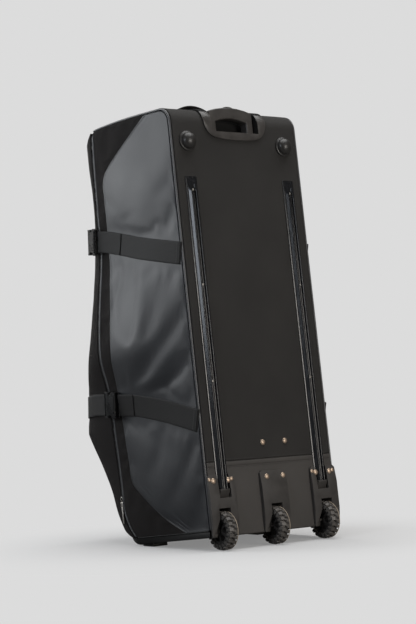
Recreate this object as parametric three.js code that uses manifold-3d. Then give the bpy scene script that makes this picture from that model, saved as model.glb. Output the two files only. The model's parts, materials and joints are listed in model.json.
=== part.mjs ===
// Wheeled cricket kit bag, standing on three wheels and two front feet and leaning forward on them.
// Millimetres. In the bag's own frame x runs across, z up its length, and the back panel lies at y = 0.
// Depth is measured from the back panel towards the front, so y = -depth.

import * as THREE from "three";
import { mergeVertices } from "three/addons/utils/BufferGeometryUtils.js";
import Module from "manifold-3d";

const wasm = await Module();
wasm.setup();

// Fit
const gap = 0.3;                 // clearance between pieces that touch

// Body
const bodyWidth = 362;           // across the back panel
const bodyHeight = 957;          // top panel where it leaves the back bend
const topRise = 16;              // top panel's rise from the back bend to the zip
const topCrown = 6;              // top panel's crown across
const backBend = 38;             // outer radius of the bend from back to top
const backTopRun = 15;           // flat run of the back panel on the top, past its bend
const tubDepth = 325;            // zip line behind the lid, at its deepest
const bellyDepth = 480;          // lid at its deepest
const sideBulge = 25;            // sides pushed out by the load
const sideLoft = 8;              // extra fullness half way from back to zip
const clothWall = 3;             // padded cloth walls
const boardWall = 4;             // back panel with its board
const lidCrown = 6;
const lidSideRound = 40;         // how far the lid's rounded edge reaches in from its side
const lidTopRound = 28;
const lidBottomRound = 25;
const lidBottom = 18;            // lowest edge of the lid
const seamHeight = 165;          // seam across the back between its two panels

// Base
const baseUnder = 5;             // underside of the base above the back panel's lowest line
const baseLip = 18;              // top of the base's lip
const baseWall = 3;
const baseFrontRound = 42;

// Piping and zip
const pipingRadius = 2.5;
const pipingSunk = 3;            // centre of the side piping inside both faces that it joins
const rimSunk = 1.2;             // centre of the rim piping inside the side
const rimCorner = 9;             // bend of rim piping and zip at the top corners
const zipWidth = 4.4;
const zipWall = 2.4;
const zipLowEnd = 80;
const pullLength = 44;
const pullWidth = 9;
const pullWall = 2;

// Webbing and buckles
const webWidth = 50;
const webWall = 2;
const webLift = 1.6;             // webbing above the cloth
const buckleWidth = 60;
const buckleWall = 9;
const buckleLift = 2;             // buckle above the cloth that it crosses, clear of the rim piping
const socketLength = 36;
const plugLength = 26;

// Handle
const gripWidth = 124;
const gripTall = 24;
const gripDeep = 24;
const gripHeight = 61;           // grip's top above the floor of its cup
const gripArch = 10;
const legWidth = 18;
const tubeSpacing = 106;
const tubeDepth = 21;            // tube axes behind the back plane
const tubeRadius = 6.5;
const tubeRise = 35;             // lower end of each tube above its guide's
const guideRadius = 9.5;
const guideBore = 7.8;
const guideLow = 207;
const bracketWall = 3;
const bracketHeight = 32;
const bracketSeat = 12;          // height of the two seats under the guides
const bracketReach = 17;         // plate past each tube's middle, sideways
const seatWidth = 24;
const cupDrop = 55;              // floor of the cup below the top panel
const cupWall = 2.5;
const cupDepth = 45;
const cupClear = 4;              // grip to cup
const lipThick = 4;
const lipWidth = 180;
const lipDrop = 18;              // lowest edge of the lip below the floor of the cup
const lipTopRun = 12;
const buttonWidth = 34;
const buttonDeep = 12;
const buttonTall = 8;
const buttonProud = 4;
const buttonTravel = 3;

// Back fittings
const railInset = 42.5;          // middle of each rail in from the body's side
const railWidth = 31;
const railTall = 10.3;
const railLow = 88;
const railDrop = 161;            // upper end of the rails below the top panel
const railTaper = 34;
const domeInset = 44;            // middle of each dome in from the body's side
const domeDrop = 81;             // and below the top panel
const domeBase = 22.5;
const domeRadius = 19;
const domeTall = 20;

// Wheels
const wheelInset = 36.5;         // middle of the outer wheels in from the body's side
const tyreRadius = 42.5;
const tyreWidth = 22;
const knobCount = 20;
const knobDeep = 3.5;
const hubRadius = 28;
const hubWidth = 18;
const hubSpokes = 6;
const axleRadius = 4;
const axleDepth = 7.3;
const axleHeight = 18;
const housingWidth = 72;
const housingTop = 139;
const housingProud = 9;
const housingEdge = 4;
const slotWidth = 31;
const wellWall = 4;
const wheelClear = 5;
const bossRadius = 10;           // cheek round the axle

// Feet
const footWidth = 40;
const footSetback = 49;          // front edge of the feet behind the deepest zip line
const footLength = 40;
const footThin = 4;              // thickness at the front edge
const footInset = 31;            // middle of each foot in from the body's side

// Top grab handle
const grabSpan = 130;
const grabRise = 19;
const grabWidth = 38;
const grabWall = 4;
const grabDepth = 165;
const grabSewn = 24;
const grabLift = 0.5;            // sewn ends above the top panel

// Cross sections by height. All are shares: height of bodyHeight, zip of tubDepth,
// front of bellyDepth, bulge of sideBulge, loft of sideLoft.
const sections = [
  { height: 0.020, zip: 0.883, front: 0.719, bulge: 0.00, loft: 0.0 },
  { height: 0.047, zip: 0.945, front: 0.752, bulge: 0.02, loft: 0.2 },
  { height: 0.084, zip: 0.991, front: 0.790, bulge: 0.04, loft: 0.5 },
  { height: 0.141, zip: 0.994, front: 0.840, bulge: 0.04, loft: 0.8 },
  { height: 0.199, zip: 0.997, front: 0.904, bulge: 0.08, loft: 0.7 },
  { height: 0.258, zip: 1.000, front: 0.975, bulge: 0.16, loft: 0.4 },
  { height: 0.287, zip: 1.000, front: 1.000, bulge: 0.20, loft: 0.3 },
  { height: 0.332, zip: 1.000, front: 0.969, bulge: 0.28, loft: 0.4 },
  { height: 0.386, zip: 1.000, front: 0.935, bulge: 0.50, loft: 0.8 },
  { height: 0.450, zip: 1.000, front: 0.868, bulge: 1.00, loft: 1.0 },
  { height: 0.515, zip: 0.997, front: 0.823, bulge: 0.92, loft: 1.0 },
  { height: 0.618, zip: 0.988, front: 0.790, bulge: 0.44, loft: 0.5 },
  { height: 0.669, zip: 0.982, front: 0.783, bulge: 0.16, loft: 0.3 },
  { height: 0.719, zip: 0.975, front: 0.773, bulge: 0.02, loft: 0.3 },
  { height: 0.794, zip: 0.969, front: 0.731, bulge: 0.06, loft: 0.8 },
  { height: 0.860, zip: 0.960, front: 0.729, bulge: 0.08, loft: 1.0 },
  { height: 0.928, zip: 0.954, front: 0.748, bulge: 0.08, loft: 0.6 },
  { height: 1.020, zip: 0.938, front: 0.754, bulge: 0.08, loft: 0.2 },
];

// Front edge of the coated side panel: share of the side's height, share of tubDepth.
const panelEdge = [
  { up: 0.000, depth: 0.270 },
  { up: 0.039, depth: 0.492 },
  { up: 0.100, depth: 0.732 },
  { up: 0.133, depth: 0.837 },
  { up: 0.190, depth: 0.855 },
  { up: 0.240, depth: 0.866 },
  { up: 0.284, depth: 0.874 },
  { up: 0.330, depth: 0.874 },
  { up: 0.370, depth: 0.868 },
  { up: 0.415, depth: 0.848 },
  { up: 0.458, depth: 0.832 },
  { up: 0.505, depth: 0.830 },
  { up: 0.553, depth: 0.834 },
  { up: 0.627, depth: 0.849 },
  { up: 0.665, depth: 0.857 },
  { up: 0.700, depth: 0.862 },
  { up: 0.735, depth: 0.855 },
  { up: 0.775, depth: 0.847 },
  { up: 0.825, depth: 0.843 },
  { up: 0.867, depth: 0.837 },
  { up: 0.892, depth: 0.785 },
  { up: 0.918, depth: 0.670 },
  { up: 0.953, depth: 0.492 },
  { up: 1.000, depth: 0.270 },
];

// Folds of the side cloth. Middle of each fold as shares of tubDepth and bodyHeight, run is half its
// length and spread half its width as shares of tubDepth, slope turns it from level towards the back
// top, and deep is its depth as a share of sideLoft.
const sideFolds = [
  { depth: 0.30, height: 0.425, run: 0.28, spread: 0.055, slope: 52, deep: -0.50 },
  { depth: 0.42, height: 0.385, run: 0.24, spread: 0.060, slope: 48, deep: 0.45 },
  { depth: 0.50, height: 0.150, run: 0.30, spread: 0.070, slope: 35, deep: -0.35 },
  { depth: 0.40, height: 0.745, run: 0.25, spread: 0.050, slope: 20, deep: -0.30 },
];

// Middle line of each strap: share of tubDepth along the side, share of bodyHeight. buckle is where the
// socket starts, as a share of tubDepth, tilt turns the buckle in towards the front, and lidTurns are the
// places of the front strap round the lid: up to 90 on its rounded edge, then to 180 at its middle.
const straps = [
  {
    name: "upper",
    line: [
      { depth: 0.00, height: 0.651 },
      { depth: 0.46, height: 0.692 },
      { depth: 0.70, height: 0.717 },
      { depth: 0.93, height: 0.738 },
      { depth: 1.20, height: 0.752 },
    ],
    buckle: 0.930,
    tilt: 12,
    lidTurns: [56, 67, 78, 90, 120, 150, 180],
  },
  {
    name: "lower",
    line: [
      { depth: 0.00, height: 0.267 },
      { depth: 0.36, height: 0.304 },
      { depth: 0.66, height: 0.328 },
      { depth: 0.86, height: 0.338 },
      { depth: 1.20, height: 0.350 },
    ],
    buckle: 0.840,
    tilt: 2,
    lidTurns: [6, 20, 36, 54, 72, 90, 120, 150, 180],
  },
];

const colours = {
  coatedCloth: { color: 0x4b4d51, roughness: 0.45, metalness: 0 },
  blackCloth: { color: 0x242323, roughness: 0.85, metalness: 0 },
  backCloth: { color: 0x32302e, roughness: 0.8, metalness: 0 },
  lowerCloth: { color: 0x45403d, roughness: 0.6, metalness: 0 },
  webbing: { color: 0x1c1b1b, roughness: 0.8, metalness: 0 },
  piping: { color: 0x6b6b6b, roughness: 0.35, metalness: 0 },
  plastic: { color: 0x201f1f, roughness: 0.4, metalness: 0 },
  gloss: { color: 0x0d0e10, roughness: 0.15, metalness: 0 },
  rubber: { color: 0x23211f, roughness: 0.7, metalness: 0 },
  steel: { color: 0xb8b4ae, roughness: 0.3, metalness: 1 },
  aluminium: { color: 0x9a9a9c, roughness: 0.4, metalness: 1 },
};

const seamInset = pipingSunk + pipingRadius + 2.6 * gap;     // panels stop here, short of a piped corner
const rimAxis = -(zipWidth / 2 + gap + pipingRadius) + 2 * gap;   // rim piping from the zip's middle
const rimBack = rimAxis - pipingRadius - 4 * gap;            // front edge of gusset and top panel
const zipBack = rimAxis + pipingRadius + gap;
const zipFront = zipBack + zipWidth;
const lidBack = zipFront + gap;                              // back edge of the lid
const sideLow = baseLip + 2 * gap;
const bendHeight = bodyHeight - backBend;
const cupFloor = bodyHeight - cupDrop;
const lipLow = cupFloor - lipDrop;
const gripTop = cupFloor + gripHeight;
const railSpacing = bodyWidth - 2 * railInset;
const railHigh = bodyHeight - railDrop;
const domeSpacing = bodyWidth - 2 * domeInset;
const domeHeight = bodyHeight - domeDrop;
const wheelSpacing = bodyWidth / 2 - wheelInset;
const footFront = tubDepth - footSetback;
const footSpacing = bodyWidth - 2 * footInset;
const pocketWidth = gripWidth + 2 * cupClear;
const wellTop = axleHeight + tyreRadius + wheelClear + wellWall;
const wellDepth = axleDepth + tyreRadius + wheelClear + wellWall;
const wellWidth = slotWidth + 2 * wellWall;
const wheelPlaces = [
  { name: "left", x: wheelSpacing }, { name: "middle", x: 0 }, { name: "right", x: -wheelSpacing },
];
const sides = [{ name: "left", side: 1 }, { name: "right", side: -1 }];

// Lean: the floor touches the knobs under the wheels and the front edge of the front feet.
const knobHalfTurn = (0.3 * 2 * Math.PI) / knobCount;
const wheelReach = tyreRadius * Math.cos(knobHalfTurn);
const footLow = baseUnder - gap - footThin;
const footRun = footFront - axleDepth;
const footDrop = axleHeight - footLow;
const lean = Math.asin(wheelReach / Math.hypot(footRun, footDrop)) - Math.atan2(footDrop, footRun);

const bag = new THREE.Group();

function addPiece(name, geometry, finish, parent = bag) {
  const mesh = new THREE.Mesh(geometry, new THREE.MeshStandardMaterial(colours[finish]));
  mesh.name = name;
  parent.add(mesh);
  return mesh;
}

// Shape tools

function clamp01(value) {
  return Math.min(Math.max(value, 0), 1);
}

// Smooth curve through the rows of a table, with key the name of its first column.
function readTable(rows, key, column, at) {
  const last = rows.length - 1;
  if (at <= rows[0][key]) return rows[0][column];
  if (at >= rows[last][key]) return rows[last][column];
  const i = rows.findIndex((row) => row[key] > at) - 1;
  const [p0, p1, p2, p3] = [Math.max(i - 1, 0), i, i + 1, Math.min(i + 2, last)].map((n) => rows[n]);
  const span = p2[key] - p1[key];
  const t = (at - p1[key]) / span;
  const slopeIn = ((p2[column] - p0[column]) / (p2[key] - p0[key])) * span;
  const slopeOut = ((p3[column] - p1[column]) / (p3[key] - p1[key])) * span;
  const t2 = t * t;
  const t3 = t2 * t;
  return (
    (2 * t3 - 3 * t2 + 1) * p1[column] + (t3 - 2 * t2 + t) * slopeIn +
    (3 * t2 - 2 * t3) * p2[column] + (t3 - t2) * slopeOut
  );
}

// Closed solid from positions and triangles, turned so that its faces point out.
function closedSolid(points, triangles) {
  let volume = 0;
  for (const [a, b, c] of triangles) {
    volume += points[a].dot(points[b].clone().cross(points[c]));
  }
  const faces = volume < 0 ? triangles.map(([a, b, c]) => [a, c, b]) : triangles;
  const geometry = new THREE.BufferGeometry();
  geometry.setAttribute("position", new THREE.Float32BufferAttribute(points.flatMap((p) => p.toArray()), 3));
  geometry.setIndex(faces.flat());
  geometry.computeVertexNormals();
  return geometry;
}

// Wall between two grids of points, with its four edges closed.
function wallSolid(outer, inner) {
  const rows = outer.length;
  const columns = outer[0].length;
  const points = [...outer.flat(), ...inner.flat()];
  const at = (side, r, c) => side * rows * columns + r * columns + c;
  const triangles = [];
  const quad = (a, b, c, d) => triangles.push([a, b, c], [a, c, d]);
  for (let r = 0; r < rows - 1; r += 1) {
    for (let c = 0; c < columns - 1; c += 1) {
      quad(at(0, r, c), at(0, r, c + 1), at(0, r + 1, c + 1), at(0, r + 1, c));
      quad(at(1, r, c), at(1, r + 1, c), at(1, r + 1, c + 1), at(1, r, c + 1));
    }
    quad(at(0, r, 0), at(0, r + 1, 0), at(1, r + 1, 0), at(1, r, 0));
    quad(at(0, r, columns - 1), at(1, r, columns - 1), at(1, r + 1, columns - 1), at(0, r + 1, columns - 1));
  }
  for (let c = 0; c < columns - 1; c += 1) {
    quad(at(0, 0, c), at(1, 0, c), at(1, 0, c + 1), at(0, 0, c + 1));
    quad(at(0, rows - 1, c), at(0, rows - 1, c + 1), at(1, rows - 1, c + 1), at(1, rows - 1, c));
  }
  return closedSolid(points, triangles);
}

// Solid swept through stations, each an origin with two axes, from a section of [a, b] points.
function sweptSolid(stations, section) {
  const sides = section.length;
  const points = stations.flatMap(({ origin, axisA, axisB }) =>
    section.map(([a, b]) => origin.clone().addScaledVector(axisA, a).addScaledVector(axisB, b)));
  const triangles = [];
  for (let s = 0; s < stations.length - 1; s += 1) {
    for (let k = 0; k < sides; k += 1) {
      const next = (k + 1) % sides;
      const [a, b, c, d] = [s * sides + k, s * sides + next, (s + 1) * sides + next, (s + 1) * sides + k];
      triangles.push([a, b, c], [a, c, d]);
    }
  }
  const last = (stations.length - 1) * sides;
  for (let k = 1; k < sides - 1; k += 1) {
    triangles.push([0, k + 1, k], [last, last + k, last + k + 1]);
  }
  return closedSolid(points, triangles);
}

function roundSection(radius, sides) {
  return Array.from({ length: sides }, (_, k) => {
    const turn = (2 * Math.PI * (k + 0.5)) / sides;
    return [radius * Math.cos(turn), radius * Math.sin(turn)];
  });
}

function outlineShape(points) {
  return new THREE.Shape(points.map(([a, b]) => new THREE.Vector2(a, b)));
}

// Outline in x and z, carried from one depth to another.
function acrossDepth(shape, fromDepth, toDepth, curveSegments = 6) {
  const options = { depth: toDepth - fromDepth, bevelEnabled: false, curveSegments };
  const geometry = new THREE.ExtrudeGeometry(shape, options);
  return geometry.rotateX(Math.PI / 2).translate(0, -fromDepth, 0);
}

// Outline in depth and z, carried across from one x to another.
function acrossWidth(shape, fromX, toX, curveSegments = 6) {
  const options = { depth: toX - fromX, bevelEnabled: false, curveSegments };
  const geometry = new THREE.ExtrudeGeometry(shape, options);
  const turn = new THREE.Matrix4().makeBasis(
    new THREE.Vector3(0, -1, 0), new THREE.Vector3(0, 0, 1), new THREE.Vector3(-1, 0, 0));
  return geometry.applyMatrix4(turn).translate(toX, 0, 0);
}

function block(width, depthFrom, depthTo, low, high, x = 0) {
  const geometry = new THREE.BoxGeometry(width, depthTo - depthFrom, high - low);
  return geometry.translate(x, -(depthFrom + depthTo) / 2, (low + high) / 2);
}

function toManifold(geometry) {
  const bare = geometry.clone();
  for (const name of Object.keys(bare.attributes)) {
    if (name !== "position") bare.deleteAttribute(name);
  }
  const merged = mergeVertices(bare, 1e-4);
  return new wasm.Manifold(new wasm.Mesh({
    numProp: 3,
    vertProperties: new Float32Array(merged.attributes.position.array),
    triVerts: new Uint32Array(merged.index.array),
  }));
}

function fromManifold(solid) {
  const { vertProperties, triVerts } = solid.getMesh();
  const geometry = new THREE.BufferGeometry();
  geometry.setAttribute("position", new THREE.BufferAttribute(new Float32Array(vertProperties), 3));
  geometry.setIndex(new THREE.BufferAttribute(new Uint32Array(triVerts), 1));
  geometry.computeVertexNormals();
  return geometry;
}

function combine(first, { add = [], keep = [], cut = [] }) {
  let solid = toManifold(first);
  for (const piece of add) solid = solid.add(toManifold(piece));
  for (const piece of keep) solid = solid.intersect(toManifold(piece));
  for (const piece of cut) solid = solid.subtract(toManifold(piece));
  return fromManifold(solid);
}

// Form of the body

function bodyRow(z) {
  const share = z / bodyHeight;
  return {
    zip: readTable(sections, "height", "zip", share) * tubDepth,
    front: readTable(sections, "height", "front", share) * bellyDepth,
    bulge: readTable(sections, "height", "bulge", share) * sideBulge,
    loft: readTable(sections, "height", "loft", share) * sideLoft,
  };
}

// Folds rise or sink as rounded ridges that fade out along their length and at the panel's edges.
function foldRelief(z, depth) {
  const fade = Math.sin(Math.PI * clamp01(depth / (panelEdge[6].depth * tubDepth)));
  let relief = 0;
  for (const fold of sideFolds) {
    const slope = THREE.MathUtils.degToRad(fold.slope);
    const du = depth - fold.depth * tubDepth;
    const dz = z - fold.height * bodyHeight;
    const along = (-du * Math.cos(slope) + dz * Math.sin(slope)) / (fold.run * tubDepth);
    const beside = (du * Math.sin(slope) + dz * Math.cos(slope)) / (fold.spread * tubDepth);
    relief += fold.deep * sideLoft * Math.exp(-along * along - beside * beside);
  }
  return relief * fade;
}

// Outer face of the side: out to the full bulge by two thirds of its depth, with the loft between.
function sideX(z, depth) {
  const { zip, bulge, loft } = bodyRow(z);
  const reach = Math.sin((Math.PI / 2) * clamp01(depth / (0.7 * zip)));
  const fullness = Math.sin(Math.PI * clamp01(depth / zip));
  return bodyWidth / 2 + bulge * reach ** 2 + loft * fullness + foldRelief(z, depth);
}

// Outer line of the side's top, inset square to itself.
function sideTop(depth, inset = 0) {
  if (depth < backBend) {
    const across = backBend - Math.max(depth, inset);
    return bendHeight + Math.sqrt(Math.max((backBend - inset) ** 2 - across ** 2, 0));
  }
  const along = clamp01((depth - backBend) / (tubDepth - backBend));
  return bodyHeight + topRise * Math.sin((Math.PI / 2) * along) - inset;
}

function sidePoint(side, up, depth, inward) {
  const z = sideLow + up * (sideTop(depth, seamInset) - sideLow);
  return new THREE.Vector3(side * (sideX(z, depth) - inward), -depth, z);
}

function sideWall(side, edges, shares) {
  const grid = (inward) => edges.map(({ up, from, to }) =>
    shares.map((share) => sidePoint(side, up, from + share * (to - from), inward)));
  return wallSolid(grid(0), grid(clothWall));
}

function makeSides() {
  for (const { name, side } of sides) {
    const panelRows = panelEdge.map(({ up, depth }) => (
      { up, from: seamInset, to: depth * tubDepth - gap / 2 }));
    addPiece(`side_panel_${name}`, sideWall(side, panelRows, [0, 0.1, 0.22, 0.38, 0.56, 0.78, 1]), "coatedCloth");
    const gussetRows = panelEdge.map(({ up, depth }) => {
      const z = sideLow + up * (sideTop(tubDepth, seamInset) - sideLow);
      return { up, from: depth * tubDepth + gap / 2, to: bodyRow(z).zip + rimBack };
    });
    addPiece(`gusset_${name}`, sideWall(side, gussetRows, [0, 0.35, 0.7, 1]), "blackCloth");
  }
}

// Back panel: flat board, bent over the top edge. Its notch takes the handle cup.
function makeBackPanels() {
  const halfWidth = bodyWidth / 2 - seamInset;
  const bend = (shape, radius, clockwise) => (
    shape.absarc(backBend, bendHeight, radius, clockwise ? Math.PI : Math.PI / 2,
      clockwise ? Math.PI / 2 : Math.PI, clockwise));
  const profile = new THREE.Shape();
  profile.moveTo(0, seamHeight + gap / 2);
  profile.lineTo(0, bendHeight);
  bend(profile, backBend, true);
  profile.lineTo(backBend + backTopRun, bodyHeight);
  profile.lineTo(backBend + backTopRun, bodyHeight - boardWall);
  profile.lineTo(backBend, bodyHeight - boardWall);
  bend(profile, backBend - boardWall, false);
  profile.lineTo(boardWall, seamHeight + gap / 2);
  const notch = block(pocketWidth + 2 * cupWall + 2 * gap, -20, cupDepth + cupWall + gap,
    cupFloor - cupWall - gap, bodyHeight + 20);
  addPiece("back_panel", combine(acrossWidth(profile, -halfWidth, halfWidth, 7), { cut: [notch] }), "backCloth");

  const wells = wheelPlaces.map(({ x }) =>
    block(wellWidth + 2 * gap, -10, boardWall + 10, -20, wellTop + gap, x));
  const lower = block(2 * halfWidth, 0, boardWall, baseUnder, seamHeight - gap / 2);
  addPiece("lower_back_panel", combine(lower, { cut: wells }), "lowerCloth");
}

const topStart = backBend + backTopRun + gap;

function topEnd() {
  return bodyRow(sideTop(tubDepth)).zip + rimBack;
}

// Outer face of the top panel: the side's top line with a crown that fades out at its four edges.
function topSurface(x, depth) {
  const run = clamp01((depth - topStart) / (topEnd() - topStart));
  const share = clamp01(Math.abs(x) / (bodyWidth / 2));
  return sideTop(depth) + topCrown * Math.sin(Math.PI * run) * Math.cos((Math.PI / 2) * share);
}

function makeTopPanel() {
  const shares = [-1, -0.62, -0.25, 0.25, 0.62, 1];
  const grid = (inward) => [0, 0.25, 0.5, 0.75, 1].map((run) => shares.map((share) => {
    const depth = topStart + run * (topEnd() - topStart);
    const x = share * (sideX(sideTop(depth), depth) - seamInset);
    return new THREE.Vector3(x, -depth, topSurface(x, depth) - inward);
  }));
  addPiece("top_panel", wallSolid(grid(0), grid(clothWall)), "blackCloth");
}

// Base: a shallow tray with a lip, curved up at its front to meet the lid.
function makeBase() {
  const frontEnd = bodyRow(baseLip).zip + lidBack - gap;
  const tray = (inset, top) => {
    const shape = new THREE.Shape();
    const low = baseUnder + inset;
    const front = frontEnd - inset;
    shape.moveTo(seamInset + (inset ? -10 : 0), low);
    shape.lineTo(front - baseFrontRound, low);
    shape.quadraticCurveTo(front - 12, low, front, lidBottom - gap);
    shape.lineTo(front, top);
    shape.lineTo(seamInset + (inset ? -10 : 0), top);
    return shape;
  };
  const halfWidth = bodyWidth / 2 - gap;
  const outer = acrossWidth(tray(0, baseLip), -halfWidth, halfWidth, 5);
  const inner = acrossWidth(tray(baseWall, baseLip + 20), -halfWidth + baseWall, halfWidth - baseWall, 5);
  const wells = wheelPlaces.map(({ x }) =>
    block(wellWidth + 2 * gap, -10, wellDepth + gap, -20, baseLip + 20, x));
  addPiece("base_tray", combine(outer, { cut: [inner, ...wells] }), "plastic");
}

// Lid: a tray whose rim follows the zip. Rounded by quarter ellipses at its sides, top and bottom.
const lidRowPlaces = [
  { edge: "bottom", turn: 0 }, { edge: "bottom", turn: 28 }, { edge: "bottom", turn: 58 },
  ...sections.slice(1, -1).map(({ height }) => ({ edge: "none", height })),
  { edge: "top", turn: 58 }, { edge: "top", turn: 28 }, { edge: "top", turn: 0 },
];
const lidColumnPlaces = [
  { turn: 0, side: 1 }, { turn: 22, side: 1 }, { turn: 46, side: 1 }, { turn: 68, side: 1 },
  { turn: 90, share: 1 }, { turn: 90, share: 0.5 }, { turn: 90, share: 0 }, { turn: 90, share: -0.5 },
  { turn: 90, share: -1 },
  { turn: 68, side: -1 }, { turn: 46, side: -1 }, { turn: 22, side: -1 }, { turn: 0, side: -1 },
];

function lidHeight({ edge, turn, height }, inward) {
  const cosine = Math.cos(THREE.MathUtils.degToRad(turn ?? 90));
  if (edge === "bottom") return lidBottom + inward + lidBottomRound * (1 - cosine);
  if (edge === "top") return sideTop(tubDepth) - inward - lidTopRound * (1 - cosine);
  return height * bodyHeight;
}

function lidPoint(row, column, inward) {
  const z = lidHeight(row, inward);
  const { zip, front, bulge } = bodyRow(z);
  const halfWidth = bodyWidth / 2 + bulge - inward;
  const turn = THREE.MathUtils.degToRad(column.turn);
  const x = column.side
    ? column.side * (halfWidth - lidSideRound * (1 - Math.cos(turn)))
    : column.share * (halfWidth - lidSideRound);
  const rowRise = row.edge === "none" ? 1 : Math.sin(THREE.MathUtils.degToRad(row.turn));
  const rise = rowRise * Math.sin(turn);
  const crown = lidCrown * (1 - (x / halfWidth) ** 2);
  const back = zip + lidBack;
  const depth = back + (front + crown - inward - back) * rise;
  return new THREE.Vector3(x, -depth, z);
}

function makeLid() {
  const grid = (inward) => lidRowPlaces.map((row) =>
    lidColumnPlaces.map((column) => lidPoint(row, column, inward)));
  addPiece("front_lid", wallSolid(grid(0), grid(clothWall)), "blackCloth");
}

// Stations round the mouth of the bag: up one side, over the top and down the other.
function mouthStations(depthOffset) {
  const heights = sections.slice(1, -1).map(({ height }) => height * bodyHeight);
  const top = sideTop(tubDepth);
  const sideHeights = heights.filter((z) => z > zipLowEnd && z < top - rimCorner - 15);
  const cornerTurns = [0, 30, 60, 90];
  const oneSide = [
    ...sideHeights.map((z) => ({ x: bodyWidth / 2 + bodyRow(z).bulge, z, turn: 0 })),
    ...cornerTurns.map((degrees) => {
      const turn = THREE.MathUtils.degToRad(degrees);
      const halfWidth = bodyWidth / 2 + bodyRow(top).bulge;
      return {
        x: halfWidth - rimCorner + rimCorner * Math.cos(turn),
        z: top - rimCorner + rimCorner * Math.sin(turn),
        turn,
      };
    }),
  ];
  const place = (side) => ({ x, z, turn }) => ({
    origin: new THREE.Vector3(side * x, -(bodyRow(z).zip + depthOffset), z),
    axisA: new THREE.Vector3(side * Math.cos(turn), 0, Math.sin(turn)),
    axisB: new THREE.Vector3(0, -1, 0),
  });
  return [...oneSide.map(place(1)), ...oneSide.map(place(-1)).reverse()];
}

function makeMouth() {
  addPiece("zip_track", sweptSolid(mouthStations(0), [
    [-zipWall, zipBack], [0, zipBack], [0, zipFront], [-zipWall, zipFront],
  ]), "blackCloth");
  const rim = mouthStations(rimAxis).map((station) => (
    { ...station, origin: station.origin.clone().addScaledVector(station.axisA, -rimSunk) }));
  addPiece("rim_piping", sweptSolid(rim, roundSection(pipingRadius, 6)), "piping");
}

// Piping along each side's back edge, over the bend and forward along the top edge.
function makeSidePiping() {
  for (const { name, side } of sides) {
    const radius = backBend - pipingSunk;
    const line = [
      ...[sideLow + 3, 0.2, 0.4, 0.6, 0.8].map((place) => (
        { depth: pipingSunk, z: place > 1 ? place : place * bodyHeight, turn: Math.PI })),
      ...[0, 22.5, 45, 67.5, 90].map((degrees) => {
        const turn = Math.PI - THREE.MathUtils.degToRad(degrees);
        return {
          depth: backBend + radius * Math.cos(turn), z: bendHeight + radius * Math.sin(turn), turn,
        };
      }),
      ...[0.3, 0.5, 0.7].map((share) => (
        { depth: share * tubDepth, z: sideTop(share * tubDepth, pipingSunk), turn: Math.PI / 2 })),
    ];
    line.push({ depth: topEnd(), z: sideTop(topEnd(), pipingSunk), turn: Math.PI / 2 });
    const stations = line.map(({ depth, z, turn }) => ({
      origin: new THREE.Vector3(side * (sideX(z, depth) - pipingSunk), -depth, z),
      axisA: new THREE.Vector3(1, 0, 0),
      axisB: new THREE.Vector3(0, -Math.cos(turn), Math.sin(turn)),
    }));
    addPiece(`side_piping_${name}`, sweptSolid(stations, roundSection(pipingRadius, 6)), "piping");
  }
}

// Straps

// Outer face of the whole bag at one height, by distance round it from the back edge.
// It runs along the side to the zip, round the lid's quarter ellipse and to the middle of the front.
function hoopPoint(z, depthOrTurn, onLid) {
  const { zip, front, bulge } = bodyRow(z);
  if (!onLid) return new THREE.Vector2(sideX(z, depthOrTurn), depthOrTurn);
  const halfWidth = bodyWidth / 2 + bulge;
  const turn = THREE.MathUtils.degToRad(Math.min(depthOrTurn, 90));
  const past = Math.max(depthOrTurn - 90, 0) / 90;
  const x = (halfWidth - lidSideRound * (1 - Math.cos(turn))) * (1 - past);
  const back = zip + lidBack;
  const crown = lidCrown * (1 - (x / halfWidth) ** 2);
  return new THREE.Vector2(x, back + (front + crown - back) * Math.sin(turn));
}

const acrossWeb = [-webWidth / 2, 0, webWidth / 2];

function strapLine(strap, depth) {
  return readTable(strap.line, "depth", "height", depth / tubDepth) * bodyHeight;
}

function strapSlope(strap, depth) {
  return (strapLine(strap, depth + socketLength) - strapLine(strap, depth)) / socketLength;
}

// Webbing laid on the bag: rows follow the strap, columns go across its width, and slant leans a row
// so that it ends square to a strap that climbs.
function webbing(rows) {
  const grid = (extra) => rows.map(({ middle, place, slant = 0, lift = webLift, onLid, side }) =>
    acrossWeb.map((offset) => {
      const z = middle + offset;
      const at = place - slant * offset;
      const here = hoopPoint(z, at, onLid);
      const ahead = hoopPoint(z, at + 1, onLid);
      const normal = new THREE.Vector2(ahead.y - here.y, here.x - ahead.x).normalize();
      const point = here.addScaledVector(normal, lift + extra);
      return new THREE.Vector3(side * point.x, -point.y, z);
    }));
  return wallSolid(grid(webWall), grid(0));
}

function makeStraps() {
  for (const strap of straps) {
    const buckleBack = strap.buckle * tubDepth;
    for (const { name, side } of sides) {
      const foot = buckleFoot(strap, buckleBack);
      const start = seamInset;
      const end = foot.y - 2 * gap;
      const footRise = foot.x - hoopPoint(strapLine(strap, end), end, false).x;
      const rows = [0, 0.12, 0.28, 0.45, 0.62, 0.8, 0.92, 1].map((share) => {
        const depth = start + share * (end - start);
        const slant = share * strapSlope(strap, buckleBack);
        const lift = webLift + (footRise + webLift / 2 - webLift) * share ** 12;
        return { middle: strapLine(strap, depth), place: depth, slant, lift, onLid: false, side };
      });
      addPiece(`strap_${strap.name}_${name}`, webbing(rows), "webbing");
      makeBuckle(strap, name, side, buckleBack);
    }
    makeFrontStrap(strap);
  }
}

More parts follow.
